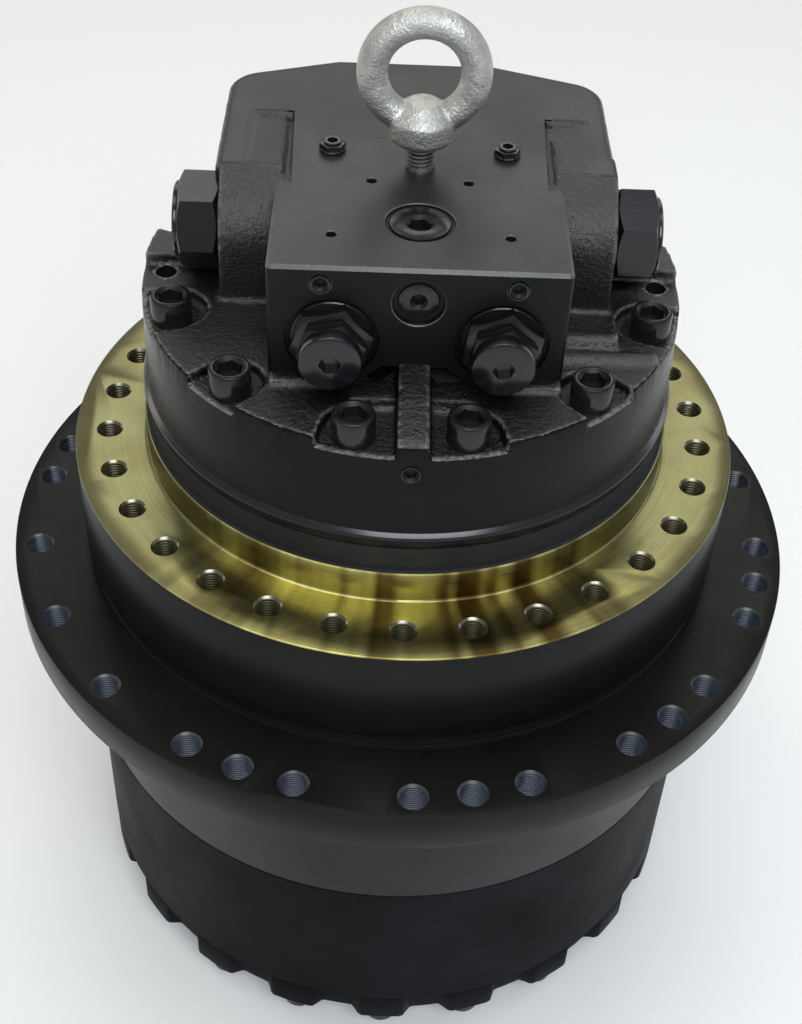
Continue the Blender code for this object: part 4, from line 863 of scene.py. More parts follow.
def casing_wall():
    body = turned([(NECK_R - 0.03, JOINT + GAP), (NECK_R, JOINT + GAP),
                   (CASE_FOOT_R, JOINT + 0.0042), (CASE_FOOT_R, FLARE_BOTTOM),
                   (WALL_FOOT_R, FLARE_TOP), (wall_radius(WALL_SEAM) + LAP, WALL_SEAM),
                   (NECK_R - 0.03, WALL_SEAM)])
    rounded(body, 0.0012, 4, lambda edge: edge.verts[0].co.xy.length > NECK_R
            and edge.verts[0].co.z < WALL_SEAM - GAP)
    for face in body.faces:
        if 0.15 < face.normal.z < 0.9:
            face.material_index = FLARE_SLOT
    return keep("casing_wall", cut(body, wall_bore()), [WALL_BLACK, FLARE_BLACK], "spindle")


casing_wall()

# %% Solids of the rough casting
SCREW_ORBIT = 0.146
SCREW_ANGLES = (-102.25, -77.75, -133.5, -46.5, -164.5, -15.5, 160.5, 19.5)
POCKET_R = (0.0185, 0.0185, 0.0190, 0.0190, 0.0210, 0.0205, 0.0190, 0.0190)
SHOULDER_TOP = DECK + 0.0075
SHOULDER_Y = 0.006
BLOCK_HALF = 0.0818
BLOCK_LEFT, BLOCK_RIGHT = MIDDLE - BLOCK_HALF, MIDDLE + BLOCK_HALF
BLOCK_FRONT, BLOCK_REAR = -0.102, 0.138
BLOCK_REAR_X = 0.050
EAR_X = 0.1165
EAR_FRONT = 0.004
EAR_CORNER = 0.1135
EAR_TOP = TOP - GAP
BOSS_HALF = 0.115
BOSS_R = 0.030
BOSS_Z = TOP - 0.037
RIB_LEFT, RIB_RIGHT = -0.0075, 0.0100
RIB_FRONT, RIB_BEND = -0.1605, -0.130
RIB_POCKETS = ((-0.034, RIB_LEFT), (RIB_RIGHT, 0.036))
RIB_POCKET_Y = (-0.175, -0.119)
LEDGES_X = ((BLOCK_LEFT + 0.001, -0.043), (0.046, BLOCK_RIGHT - 0.001))
LEDGE_W = 0.0075
SLOT_FRONT, SLOT_REAR = -0.0165, 0.067
SLOT_OUTER = BLOCK_HALF - 0.003
SLOT_INNER_REAR, SLOT_INNER_FRONT = 0.0756, 0.0728
GROOVE_DEPTH, REAR_GROOVE_DEPTH, REAR_GROOVE_W = 0.0055, 0.0060, 0.0035
FIELD_W, FIELD_DEPTH_IN, FIELD_DEPTH_OUT = 0.024, 0.0030, 0.0012
DECK_PORTS = ((-0.148, -0.002), (0.148, -0.002))
EAR_PORT_X, EAR_PORT_Y, EAR_PORT_Z = EAR_X - 0.026, 0.070, TOP - 0.027
CAST_STEPS, POCKET_STEPS = 160, 32
EDGE_SLOT, TOP_SLOT, DEEP_SLOT, WALL_SLOT = 1, 2, 3, 4


def casing_round():
    """Deck with its raised rear half, and the pockets for the screw heads."""
    root = WALL_SEAM - 0.006
    body = lathe([(wall_radius(root), root), (CASE_TOP_R, DECK)], CAST_STEPS)
    shoulder = lathe([(CASE_TOP_R + 0.0002, DECK - 0.005), (CASE_TOP_R - 0.0006, SHOULDER_TOP)],
                     CAST_STEPS)
    front_half = slab((-0.2, 0.2), (-0.2, SHOULDER_Y), (DECK - 0.01, DECK + 0.02))
    body = fused(body, cut(shoulder, front_half))
    for degrees, radius in zip(SCREW_ANGLES, POCKET_R):
        pocket = rod(radius, SEAT, DECK + 0.015, (SCREW_ORBIT, 0.0), POCKET_STEPS)
        mouth = slab((SCREW_ORBIT, CASE_FOOT_R + 0.01), (-radius, radius), (SEAT, DECK + 0.015))
        body = cut(body, moved(fused(pocket, mouth), spun(degrees)))
    return cut(body, *[slab(span, RIB_POCKET_Y, (SEAT, DECK + 0.012)) for span in RIB_POCKETS])


def along_x(radius, start, end, y, z):
    """Round bar that lies along X."""
    return moved(rod(radius, start, end), at(0, y, z) @ LYING)


def boss_bridge(left, right):
    """Slope that leads from the ears' top down to a tangent on the cross boss."""
    reach = math.hypot(EAR_FRONT, TOP - BOSS_Z)
    lean = math.acos(BOSS_R / reach) - math.atan2(EAR_FRONT, TOP - BOSS_Z)
    touch = (-BOSS_R * math.sin(lean), BOSS_Z + BOSS_R * math.cos(lean))
    outline = [(-EAR_TOP, EAR_FRONT), (-touch[1], touch[0]), (-BOSS_Z, touch[0]),
               (-BOSS_Z, EAR_FRONT + 0.02), (-EAR_TOP, EAR_FRONT + 0.02)]
    return moved(raised(outline, left, right), LYING)


def ear_plate():
    """The wide rear plate with rounded corners and soft top edges."""
    outline = [(-EAR_X, EAR_FRONT), (EAR_X, EAR_FRONT), (EAR_X, EAR_CORNER),
               (BLOCK_REAR_X, BLOCK_REAR), (-BLOCK_REAR_X, BLOCK_REAR), (-EAR_X, EAR_CORNER)]
    plate = raised(outline, DECK - 0.004, EAR_TOP)
    rounded(plate, 0.016, 8, lambda edge: all(
        abs(abs(vert.co.x) - EAR_X) < GAP and abs(vert.co.y - EAR_CORNER) < GAP
        for vert in edge.verts))
    return rounded(plate, 0.005, 4, lambda edge: all(
        vert.co.z > EAR_TOP - GAP for vert in edge.verts)
        and (edge.verts[0].co.y + edge.verts[1].co.y) / 2 > EAR_FRONT + GAP)


def casting_solids():
    """Ear plate, cross boss with its foot, ledges, front rib and the ridges on the right."""
    root = DECK - 0.015
    left, right = MIDDLE - BOSS_HALF, MIDDLE + BOSS_HALF
    foot = slab((left, right), (-BOSS_R, BOSS_R), (root, BOSS_Z))
    rib = raised([(RIB_FRONT, root), (RIB_FRONT, DECK + 0.002), (RIB_FRONT + 0.004, DECK + 0.004),
                  (RIB_BEND, DECK + 0.010), (BLOCK_FRONT + 0.002, DECK + 0.012),
                  (BLOCK_FRONT + 0.002, root)], RIB_LEFT, RIB_RIGHT)
    upright = Matrix(((0, 0, 1, 0), (1, 0, 0, 0), (0, 1, 0, 0), (0, 0, 0, 1)))
    ledges = [slab(span, (BLOCK_FRONT - LEDGE_W, BLOCK_FRONT + LEDGE_W), (root, DECK + 0.004))
              for span in LEDGES_X]
    ridges = [along_x(0.0065, 0.070, 0.119, -0.060, DECK + 0.0005),
              along_x(0.0060, 0.070, 0.140, -0.076, DECK - 0.0015)]
    ears = fused(ear_plate(), boss_bridge(left, right), along_x(BOSS_R, left, right, 0.0, BOSS_Z))
    return [cut(ears, *ear_slots()), foot, moved(rib, upright)] + ledges + ridges


def port_tools():
    """The small case ports in the deck, and the side ports of the ears."""
    tools = [dyed(rod(0.0063, DECK - 0.016, DECK + 0.01, place), DEEP_SLOT)
             for place in DECK_PORTS]
    for side in (-1, 1):
        bore = dyed(rod(0.0165, 0.0, 0.036), DEEP_SLOT)
        rim = dyed(rod(0.0163, 0.0238, 0.0280, top_radius=0.0205), EDGE_SLOT)
        place = at(side * EAR_PORT_X, EAR_PORT_Y, EAR_PORT_Z) @ spun(side * 90, "Y")
        tools.append(moved(fused(bore, rim), place))
    return tools + [dyed(wall_bore(), DEEP_SLOT)]


def slot_between(side, outer, depth):
    """Tool for the slot between ear and block, as far out as given."""
    outer = MIDDLE + side * outer
    outline = [(outer, SLOT_REAR), (MIDDLE + side * SLOT_INNER_REAR, SLOT_REAR),
               (MIDDLE + side * SLOT_INNER_FRONT, SLOT_FRONT), (outer, SLOT_FRONT)]
    return raised(outline, TOP - depth, TOP + 0.01)


def ear_slots():
    """Groove beside the block, the sunk field of each ear and the groove behind it."""
    tools = []
    for side in (-1, 1):
        groove = slot_between(side, SLOT_OUTER, GROOVE_DEPTH)
        inner = MIDDLE + side * (SLOT_OUTER - 0.001)
        outer = MIDDLE + side * (SLOT_OUTER + FIELD_W)
        field = raised([(inner, TOP - FIELD_DEPTH_IN), (inner, TOP + 0.004),
                        (outer, TOP + 0.004), (outer, TOP - FIELD_DEPTH_OUT)],
                       -SLOT_REAR, -EAR_FRONT)
        rear = slab(sorted((inner, outer)), (SLOT_REAR - REAR_GROOVE_W, SLOT_REAR),
                    (TOP - REAR_GROOVE_DEPTH, TOP + 0.01))
        tools.append(fused(groove, moved(field, FACING_FRONT), rear))
    return tools


# %% Melt the casting together
VOXEL = 0.0015
SMOOTHING = 2
HIGHLIGHT_REACH = 2


def remeshed(bm, voxel):
    """Voxel remesh, then relax the surface so that edges and corners round off."""
    obj = bench_object(bm)
    modifier = obj.modifiers.new("melt", "REMESH")
    modifier.mode = "VOXEL"
    modifier.voxel_size = voxel
    melted = evaluated(obj)
    for _ in range(SMOOTHING):
        bmesh.ops.smooth_vert(melted, verts=melted.verts, factor=0.5, use_axis_x=True,
                              use_axis_y=True, use_axis_z=True)
    return melted


def mark_edge_highlight(piece):
    """Store on each point how far it stands out as an edge, for the highlight painted on edges.
    """
    bm = bmesh.new()
    bm.from_mesh(piece.data)
    bm.verts.ensure_lookup_table()
    values = []
    for vert in bm.verts:
        ring = [edge.other_vert(vert).co for edge in vert.link_edges]
        middle = sum(ring, Vector()) / len(ring)
        length = sum((co - vert.co).length for co in ring) / len(ring)
        values.append(max(0.0, (vert.co - middle).dot(vert.normal) / length))
    for _ in range(HIGHLIGHT_REACH):
        values = [(values[vert.index] + max(values[edge.other_vert(vert).index]
                                            for edge in vert.link_edges)) / 2
                  for vert in bm.verts]
    bm.free()
    edge_highlight = piece.data.attributes.new("edge_highlight", "FLOAT", "POINT")
    edge_highlight.data.foreach_set("value", [min(1.0, max(0.0, 6.0 * value - 0.6)) for value in values])


def wall_top(place):
    """Height at which the wall ends at a place: the rear half stands higher."""
    return SHOULDER_TOP if place.y > SHOULDER_Y + 0.002 else DECK


def settle(vert):
    """Lay a wall point on the turned wall, and give sand-cast points their waviness."""
    reach = vert.co.xy.length
    on_wall = reach > wall_radius(vert.co.z) - 0.0012
    if on_wall and vert.co.z < wall_top(vert.co) - 0.0016:
        vert.co.xy *= wall_radius(vert.co.z) / reach
    elif vert.co.z < TOP - 0.003:
        vert.co += noise_vector(vert.co * 90.0) * 0.00025


def casing_finish(face):
    """Slot of a face: satin wall, top of the plate in a lighter black painted as sheen, or rough
    cast.
    """
    centre = face.calc_center_median()
    if centre.z > TOP - 0.0016 and face.normal.z > 0.93:
        return TOP_SLOT
    on_wall = centre.xy.length > wall_radius(centre.z) - 0.001
    on_wall = on_wall and centre.z < wall_top(centre) and abs(face.normal.z) < 0.7
    return WALL_SLOT if on_wall else 0


def rear_casing():
    body = remeshed(joined([casing_round()] + casting_solids()), VOXEL)
    for vert in body.verts:
        settle(vert)
    for face in body.faces:
        face.material_index = casing_finish(face)
    body = cut(body, *port_tools())
    piece = keep("rear_casing", body, [CAST_BLACK, CHAMFER_HIGHLIGHT, TOP_SHEEN_BLACK, SOCKET_BLACK,
                                       WALL_BLACK], "spindle", ["rear_cover"], 50)
    mark_edge_highlight(piece)
    return piece


rear_casing()

# %% [markdown]
# ## Port block
# The block carries the oil galleries. Its top and front are milled, so its edges are crisp, with
# a chamfer along the top that is painted lighter as a highlight. Recesses, threaded holes and the
# arch in its foot are cut one after the other, as a milling machine would.

# %% Mill the port block
VALVE_X = (MIDDLE - 0.0465, MIDDLE + 0.0465)
VALVE_Z = TOP - 0.046
FRONT_PLUG = (MIDDLE, TOP - 0.021)
GAUGE_X = (MIDDLE - 0.0527, MIDDLE + 0.0527)
GAUGE_Z = TOP - 0.0105
PORT_PLUG_X = (MIDDLE - 0.051, MIDDLE + 0.051)
PORT_PLUG_Y = 0.0215
TOP_PLUG = (MIDDLE, -0.0545)
EYE_Y = middle_of("eye_bolt", Y)
RECESS = 0.003
PORT_R = 0.0058
SMALL_HOLE_R, SMALL_HOLE_STEPS = 0.0030, 20
EYE_BORE_R = 0.0088
FRONT_SPOT_R, FRONT_BORE_R = 0.0145, 0.0113
VALVE_SPOT_R, VALVE_BORE_R = 0.026, 0.0163
TOP_SPOT_R, TOP_BORE_R = 0.0195, 0.0173
FRONT_SLOT = 4
SMALL_HOLES = ((-0.0212, 0.0349), (-0.0257, -0.0115), (0.0295, -0.0110), (-0.0465, -0.0690),
               (0.0510, -0.0675), (0.0010, 0.1050), (0.0245, 0.0350))


def main_block():
    """The milled front block with a crisp chamfer round its top."""
    block = slab((BLOCK_LEFT, BLOCK_RIGHT), (BLOCK_FRONT, 0.100), (DECK - 0.008, TOP))
    rounded(block, 0.0030, 3, lambda edge: edge.verts[0].co.y < BLOCK_FRONT + GAP
            and abs(edge.verts[0].co.z - edge.verts[1].co.z) > 0.05)
    return rounded(block, 0.0020, 1, lambda edge: all(
        vert.co.z > TOP - GAP for vert in edge.verts))


def front_bore(radius, depth, x, z, steps=ROUND):
    return moved(rod(radius, 0.0, depth + 0.01, steps=steps),
                 at(x, BLOCK_FRONT + depth, z) @ FACING_FRONT)


def front_sink(radius, width, x, z):
    """Cone that breaks the edge of a bore in the front."""
    cone = rod(radius - 0.001, -0.001 - width, 0.001, top_radius=radius + width + 0.001)
    return moved(dyed(cone, EDGE_SLOT), at(x, BLOCK_FRONT, z) @ FACING_FRONT)


def top_bore(radius, depth, place, slot=0, steps=ROUND):
    return dyed(rod(radius, TOP - depth, TOP + 0.01, place, steps), slot)


def countersink(radius, width, place):
    """Cone that breaks the edge of a hole in the block's top."""
    return dyed(rod(radius - 0.001, TOP - width - 0.001, TOP + 0.001, place,
                    top_radius=radius + width + 0.001), EDGE_SLOT)


def port_block():
    arch = raised([(-0.028, DECK), (-0.017, DECK + 0.010), (0.019, DECK + 0.010), (0.030, DECK)],
                  -BLOCK_FRONT - 0.014, -BLOCK_FRONT + 0.02)
    clear = [slot_between(side, BLOCK_HALF + 0.002, 0.012) for side in (-1, 1)]
    body = cut(main_block(), *clear, moved(arch, FACING_FRONT))
    body = cut(body, *[front_bore(VALVE_SPOT_R, RECESS, x, VALVE_Z, PLAIN) for x in VALVE_X],
               front_bore(FRONT_SPOT_R, RECESS, *FRONT_PLUG),
               *[front_bore(PORT_R, 0.008, x, GAUGE_Z) for x in GAUGE_X],
               top_bore(TOP_SPOT_R, 0.0016, TOP_PLUG, DEEP_SLOT, PLAIN),
               top_bore(EYE_BORE_R, 0.020, (MIDDLE, EYE_Y)),
               *[top_bore(PORT_R, 0.013, (x, PORT_PLUG_Y)) for x in PORT_PLUG_X],
               *[top_bore(SMALL_HOLE_R, 0.012, place, DEEP_SLOT, SMALL_HOLE_STEPS)
                 for place in SMALL_HOLES])
    body = cut(body, *[front_bore(VALVE_BORE_R, 0.02, x, VALVE_Z) for x in VALVE_X],
               front_bore(FRONT_BORE_R, 0.014, *FRONT_PLUG),
               top_bore(TOP_BORE_R, 0.014, TOP_PLUG),
               *[front_sink(PORT_R, 0.0006, x, GAUGE_Z) for x in GAUGE_X],
               *[countersink(SMALL_HOLE_R, 0.0006, place) for place in SMALL_HOLES])
    body = cut(body, countersink(TOP_SPOT_R, 0.0005, TOP_PLUG),
               front_sink(FRONT_SPOT_R, 0.0005, *FRONT_PLUG))
    # Faces that don't face up take the darker black, so the tops keep the lighter black of
    # painted sheen; the top chamfer takes the painted highlight.
    for face in body.faces:
        height = face.calc_center_median().z
        if face.material_index == 0 and face.normal.z < 0.95:
            on_chamfer = height > TOP - 0.0021 and face.normal.z > 0.2
            face.material_index = EDGE_SLOT if on_chamfer else FRONT_SLOT
    return keep("port_block", body, [TOP_SHEEN_BLACK, CHAMFER_HIGHLIGHT, CAST_BLACK, SOCKET_BLACK,
                                     FRONT_BLACK], "spindle")


port_block()

# %% [markdown]
# ## Socket screws
# Each fastener is a turned head with a hexagon socket broached into it. One outline with a
# rounded rim serves screws and plugs alike, and the socket gets the round countersink that a
# broach needs. The case screws come first, each turned a little further than the last.

# %% Heads of screws and plugs, and the eight case screws
SCREW_FINISH = [SCREW_BLACK, SOCKET_BLACK]
SOCKET_SLOT = 1
SIDES = ("left", "right")

# Radius, height, shank radius, shank length, socket across flats, socket depth, rim.
CASE_HEAD = (0.0120, 0.0160, 0.0080, 0.030, 0.014, 0.008, 0.0016)
GALLERY_HEAD = (0.0110, 0.0010, 0.0110, 0.010, 0.006, 0.005, 0.0006)
TEST_HEAD = (0.0055, 0.0010, 0.0055, 0.007, 0.005, 0.004, 0.0005)
WALL_HEAD = (0.0056, 0.0008, 0.0056, 0.007, 0.006, 0.004, 0.0005)
FLUSH_HEAD = (0.0170, 0.0, 0.0170, 0.013, 0.012, 0.008, 0.0008)
COVER_HEAD = (0.0150, 0.0060, 0.0100, 0.012, 0.010, 0.005, 0.0012)


def socket_head(radius, height, shank_r, shank_l, across, depth, rim):
    """Turned head on a shank with a hexagon socket; the seat is at zero height."""
    outer = [(shank_r, -shank_l)]
    if radius > shank_r:
        outer += [(shank_r, 0.0), (radius, 0.0)]
    outer += [(radius, height - rim), (radius - 0.3 * rim, height - 0.3 * rim),
              (radius - rim, height)]
    sink_r = across / math.sqrt(3) + 0.0004
    sink = rod(sink_r - 0.001, height - 0.0020, height + 0.0005, top_radius=sink_r + 0.0015)
    socket = raised(hexagon(across, 12), height - depth, height + 0.01)
    return cut(lathe(outer, SMALL), fused(dyed(sink, SOCKET_SLOT), dyed(socket, SOCKET_SLOT)))


def fitted(name, bm, node, finish=SCREW_FINISH, body="spindle"):
    """Keep a blackened screw, plug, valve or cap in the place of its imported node."""
    keep(name, bm, finish, body, [node])


def cover_screws():
    for i, degrees in enumerate(SCREW_ANGLES):
        place = at(*around(SCREW_ORBIT, degrees), SEAT + GAP) @ spun(37 * i)
        fitted("case_screw_%d" % (i + 1), moved(socket_head(*CASE_HEAD), place),
               "cover_screw_%d" % (i + 1))


cover_screws()

# %% [markdown]
# ## Hexagons of plugs, valves and caps
# A forged or milled hexagon has its corners turned off at 30 degrees, which draws the bright
# arcs on every flat. It is made as in the workshop: the hexagon bar is intersected with a
# turned blank that has the chamfers. The plugs come here too, since two of them have a hexagon.

# %% Plugs, relief valves and counterbalance caps
VALVE_FLATS, ADJUSTER_FLATS, CAP_FLATS, PLUG_FLATS = 0.041, 0.034, 0.050, 0.0134
WASHER_R, WASHER_H = 0.0232, 0.0018
KNOB_R, KNOB_NECK_R, KNOB_H = 0.0174, 0.0162, 0.016
CAP_DISC_R = 0.0225
FLAT_SHARE = 0.475


def plugs():
    front = at(FRONT_PLUG[0], BLOCK_FRONT + RECESS - GAP, FRONT_PLUG[1]) @ FACING_FRONT
    fitted("gallery_plug", moved(socket_head(*GALLERY_HEAD), front), "front_plug")
    for side, x in zip(SIDES, GAUGE_X):
        place = at(x, BLOCK_FRONT, GAUGE_Z) @ FACING_FRONT
        fitted("test_plug_" + side, moved(socket_head(*TEST_HEAD), place), "gauge_plug_" + side)
    fitted("wall_plug", on_front_wall(socket_head(*WALL_HEAD)), "side_plug")
    fitted("flush_plug", moved(socket_head(*FLUSH_HEAD), at(*TOP_PLUG, TOP - GAP)), "top_plug")
    for side, x in zip(SIDES, PORT_PLUG_X):
        fitted("raised_plug_" + side, moved(raised_plug(), at(x, PORT_PLUG_Y, TOP + GAP)),
               "port_plug_" + side)
    for name, y in (("fill_plug", COVER_PLUG_Y), ("drain_plug", -COVER_PLUG_Y)):
        place = at(0.0, y, DISH - GAP) @ spun(180, "X")
        fitted("cover_" + name, moved(socket_head(*COVER_HEAD), place), name, body="hub")


def chamfered_hexagon(across, length, turn, both=False):
    """Hexagon bar met with a turned blank whose far end, or both ends, are chamfered."""
    corner = across / math.sqrt(3)
    face = across * FLAT_SHARE
    drop = (corner - face) * math.tan(math.radians(30))
    wide = corner + 0.0005
    foot = [(face, 0.0), (wide, drop)] if both else [(wide, 0.0)]
    blank = lathe([*foot, (wide, length - drop), (face, length)], PLAIN)
    bar = raised(hexagon(across, turn), -0.001, length + 0.001)
    return shaped_by(bar, blank, "INTERSECT")


def raised_plug():
    """Small hexagon plug with a collar, a turned top and its own socket."""
    bar = chamfered_hexagon(PLUG_FLATS, 0.0046, 10)
    collar = lathe([(0.0078, 0.0), (0.0078, 0.0010), (0.0070, 0.0016)], SMALL)
    top = lathe([(0.0054, 0.004), (0.0054, 0.0054), (0.0048, 0.006)], SMALL)
    body = fused(rod(0.0055, -0.012, 0.001), collar, bar, top)
    return cut(body, dyed(raised(hexagon(0.006, 20), 0.001, 0.02), SOCKET_SLOT))


def relief_valve(side, x, turn):
    seat = at(x, BLOCK_FRONT + RECESS - GAP, VALVE_Z) @ FACING_FRONT
    washer = lathe([(WASHER_R, 0.0), (WASHER_R, 0.0012), (WASHER_R - 0.0006, WASHER_H)], PLAIN)
    bar = moved(chamfered_hexagon(VALVE_FLATS, 0.0082, turn), at(0, 0, WASHER_H))
    stem = rod(0.016, -0.016, 0.001)
    fitted("valve_" + side, moved(joined([washer, bar, stem]), seat), "relief_valve_" + side,
           [SCREW_BLACK])
    cap = chamfered_hexagon(ADJUSTER_FLATS, 0.008, turn, True)
    knob = lathe([(KNOB_NECK_R, 0.006), (KNOB_NECK_R, 0.0084), (KNOB_R, 0.0092),
                  (KNOB_R, KNOB_H - 0.0014), (KNOB_R - 0.0006, KNOB_H - 0.0004),
                  (KNOB_R - 0.0018, KNOB_H)], PLAIN)
    knob = cut(knob, raised(hexagon(0.011, 8), 0.0115, 0.02))
    fitted("adjuster_" + side, moved(joined([cap, knob]), seat @ at(0, 0, 0.010 + GAP)),
           "relief_cap_" + side)


def counterbalance_cap(side, sign, turn):
    bar = chamfered_hexagon(CAP_FLATS, 0.024, turn, True)
    disc = lathe([(CAP_DISC_R, 0.023), (CAP_DISC_R, 0.0255), (CAP_DISC_R - 0.001, 0.0265)], PLAIN)
    stem = rod(0.018, -0.018, 0.001)
    seat = at(MIDDLE + sign * (BOSS_HALF + GAP), 0, BOSS_Z) @ spun(sign * 90, "Y")
    fitted("boss_cap_" + side, moved(joined([bar, disc, stem]), seat),
           "counterbalance_cap_" + side, [SCREW_BLACK])


plugs()
for side, x, turn in zip(SIDES, VALVE_X, (12, 20)):
    relief_valve(side, x, turn)
for side, sign, turn in zip(SIDES, (-1, 1), (22, -6)):
    counterbalance_cap(side, sign, turn)

# %% [markdown]
# ## Lifting eye
# The eye bolt is forged and galvanised. Ring and collar run into each other with soft fillets,
# so they are melted together as the casting was. The thread that shows below the collar is a
# real helix: a tooth profile spun with a rise of one pitch to the turn.

# %% Forge the eye and cut its thread
EYE_RING_R = 0.0290
EYE_WIRE_R = 0.0087
EYE_CENTRE_H = 0.0400
EYE_BASE = TOP + 0.0185
COLLAR_R = 0.0187
THREAD_R = 0.0085
THREAD_CORE_R = 0.0073
PITCH = 0.0025
MELT_LOSS = 0.0001
EYE_VOXEL = 0.0010
TURN_STEPS = 28
ROOT_SLOT = 1


def forged_eye():
    ring = turned([(EYE_RING_R + x, y) for x, y in (around(EYE_WIRE_R + MELT_LOSS, 15 * i)
                                                     for i in range(24))], BROAD)
    moved(ring, at(0, 0, EYE_CENTRE_H) @ FACING_FRONT)
    collar = turned([(0.0, 0.0), (COLLAR_R - 0.0020, 0.0), (COLLAR_R + 0.0004, 0.0026),
                     (COLLAR_R + 0.0005, 0.0138), (COLLAR_R - 0.0004, 0.0152),
                     (COLLAR_R - 0.0050, 0.0196), (0.0090, 0.0230), (0.0, 0.0240)], PLAIN)
    return moved(remeshed(joined([ring, collar]), EYE_VOXEL), at(0, 0, EYE_BASE))


def helix():
    """One tooth swept up the shank; its ends die away inside the core."""
    bm = bmesh.new()
    tooth = [(THREAD_CORE_R - 0.001, 0.0), (THREAD_CORE_R, 0.0002), (THREAD_R, PITCH * 0.42),
             (THREAD_R, PITCH * 0.58), (THREAD_CORE_R, PITCH - 0.0002),
             (THREAD_CORE_R - 0.001, PITCH)]
    points = [bm.verts.new((radius, 0.0, TOP + GAP + rise)) for radius, rise in tooth]
    face = bm.faces.new(points)
    turns = (EYE_BASE - TOP) / PITCH - 1.0
    steps = int(turns * TURN_STEPS)
    bmesh.ops.spin(bm, geom=[face], cent=(0, 0, 0), axis=(0, 0, 1),
                   dvec=(0, 0, turns * PITCH / steps), angle=math.tau * turns, steps=steps,
                   use_merge=False, use_duplicate=False)
    # Faces in the thread's roots take the darker zinc: painted shade and dirt.
    for face in bm.faces:
        if face.calc_center_median().xy.length < THREAD_R - 0.0002:
            face.material_index = ROOT_SLOT
    return tidy(bm)


core = rod(THREAD_CORE_R, TOP - 0.019, EYE_BASE + 0.001)
eye = moved(joined([forged_eye(), core, helix()]), at(MIDDLE, EYE_Y))
keep("forged_eye_bolt", eye, [ZINC, ZINC_ROOT_SHADE], "spindle", ["eye_bolt"], 40)

# %% [markdown]
# ## Pieces inside
# Bearings, gears, carriers and the motor show when the drive is opened or turned over. Their
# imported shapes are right, so they stay and only get real finishes in place of flat colours.

# %% Finish the inner pieces
INNER_FINISH = (
    (STEEL, ("bearing", "swash", "cylinder", "first_pin", "second_pin")),
    (GREY_IRON, ("static", "rotating", "first_carrier", "second_carrier")),
    (GEAR, ("first_planet", "second_planet", "sun_shaft", "second_sun")),
    (BRONZE, ("valve_plate", "thrust")))
dressed = 0
for name, node in frame["nodes"].items():
    for finish, starts in INNER_FINISH:
        if name.startswith(starts):
            node.data.materials.clear()
            node.data.materials.append(finish)
            dressed += 1
print("inner pieces finished:", dressed)

# %% [markdown]
# ## Studio
# The floor is a large pale sheet that fills the picture, and its colour makes the near white
# ground. Six soft lamps each do one job. The one behind draws the sheen on the flat tops. The
# one in front opens the walls, two overhead tint the gold face warm on the left and cool on the
# right, and two strips at the sides draw the edges of the round parts. The sky fills the rest.

# %% Floor, light and camera
def studio_floor():
    bm = bmesh.new()
    bmesh.ops.create_grid(bm, x_segments=1, y_segments=1, size=12.0)
    mesh = as_mesh(bm, "studio_floor")
    sheet = bpy.data.objects.new("studio_floor", mesh)
    bpy.context.scene.collection.objects.link(sheet)
    material, tree, shader = new_finish("studio_paper", 0.0, 0.9, 0.1)
    paper = noise(tree, object_place(tree), 40.0, 2.0)
    connect(tree, shader, two_tone(tree, paper, (0.940, 0.940, 0.940), (0.950, 0.950, 0.950)))
    mesh.materials.append(material)
    sheet.location.z = -0.0002


LAMP_AIM = Vector((0.0, 0.0, 0.35))


def lamp(name, place, size, tint, power):
    data = bpy.data.lights.new(name, "AREA")
    data.shape = "RECTANGLE"
    data.size, data.size_y = size
    data.color = tint
    data.energy = power
    light = bpy.data.objects.new(name, data)
    light.location = place
    light.rotation_euler = (Vector(place) - LAMP_AIM).to_track_quat("Z", "Y").to_euler()
    bpy.context.scene.collection.objects.link(light)


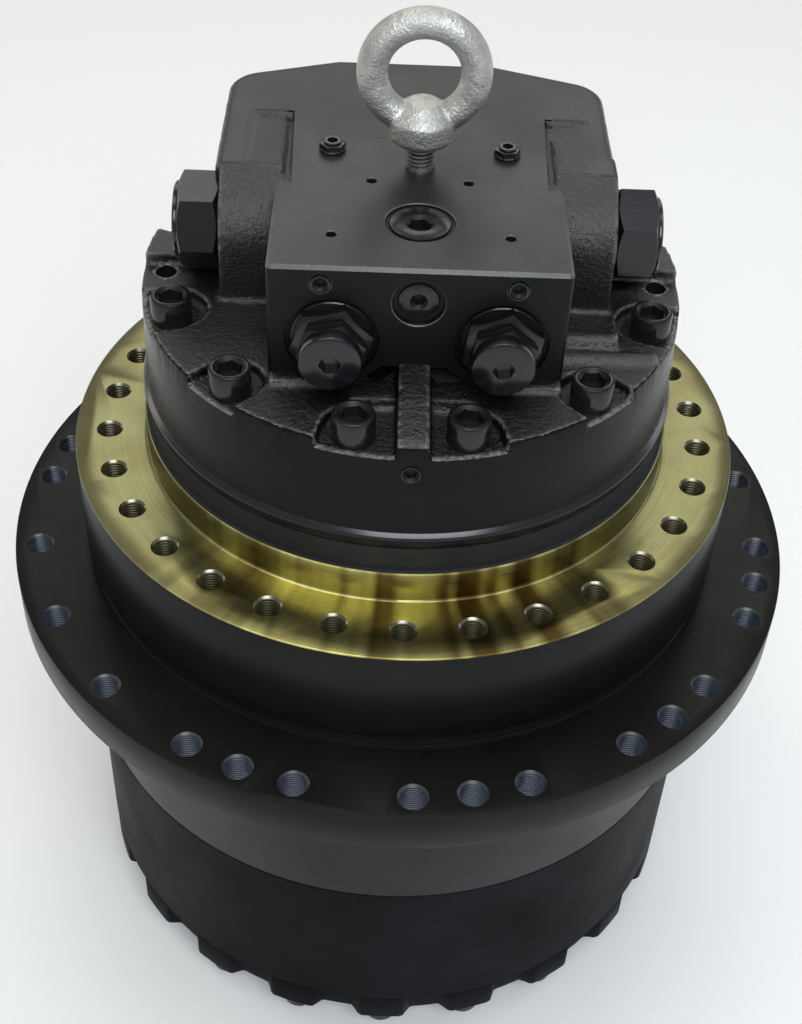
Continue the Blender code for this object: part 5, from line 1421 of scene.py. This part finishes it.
def sky(strength):
    world = bpy.data.worlds.new("studio_sky")
    world.use_nodes = True
    background = world.node_tree.nodes["Background"]
    background.inputs["Color"].default_value = (1, 1, 1, 1)
    background.inputs["Strength"].default_value = strength
    bpy.context.scene.world = world


CAMERA_PLACE = Vector((-0.0207, -0.7852, 1.0275))
CAMERA_TILT = 38.84
CAMERA_ROLL = 2.81
CAMERA_YAW = -0.03
CAMERA_PITCH = -3.47
CAMERA_TURN = -1.51
CAMERA_LENS = 54.19


def photo_camera():
    tilt = math.radians(CAMERA_TILT)
    right = Vector((1, 0, 0))
    up = Vector((0, math.sin(tilt), math.cos(tilt)))
    back = Vector((0, -math.cos(tilt), math.sin(tilt)))
    axes = Matrix((right, up, back)).transposed()
    for degrees, index in ((CAMERA_YAW, 1), (CAMERA_PITCH, 0), (CAMERA_ROLL, 2)):
        axes = Matrix.Rotation(math.radians(degrees), 3, axes.col[index]) @ axes
    axes = Matrix.Rotation(math.radians(CAMERA_TURN), 3, "Z") @ axes
    data = bpy.data.cameras.new("photo_camera")
    data.lens = CAMERA_LENS
    data.sensor_width = 36.0
    camera = bpy.data.objects.new("photo_camera", data)
    camera.matrix_world = Matrix.Translation(CAMERA_PLACE) @ axes.to_4x4()
    bpy.context.scene.collection.objects.link(camera)
    bpy.context.scene.camera = camera


studio_floor()
LAMPS = (
    ("rear_softbox", (0.1, 2.4, 2.5), (2.6, 1.5), (0.98, 1.0, 0.92), 22.0),
    ("front_window", (0.25, -1.7, 2.1), (1.7, 1.1), (0.88, 0.94, 1.0), 38.0),
    ("top_left_softbox", (-0.6, -0.1, 3.2), (1.1, 2.0), (1.0, 1.0, 0.78), 13.0),
    ("top_right_softbox", (0.6, -0.1, 3.2), (1.1, 2.0), (0.78, 0.89, 1.0), 12.0),
    ("left_strip", (-2.2, 1.1, 0.9), (0.6, 1.6), (1.0, 0.98, 0.90), 6.0),
    ("right_strip", (2.2, 1.1, 0.9), (0.7, 1.6), (0.84, 0.91, 1.0), 6.0))
for name, place, size, tint, power in LAMPS:
    lamp(name, place, size, tint, power)
sky(0.37)
photo_camera()
bpy.context.scene.view_settings.view_transform = "Standard"
print("lamps:", [name for name, *_ in LAMPS])
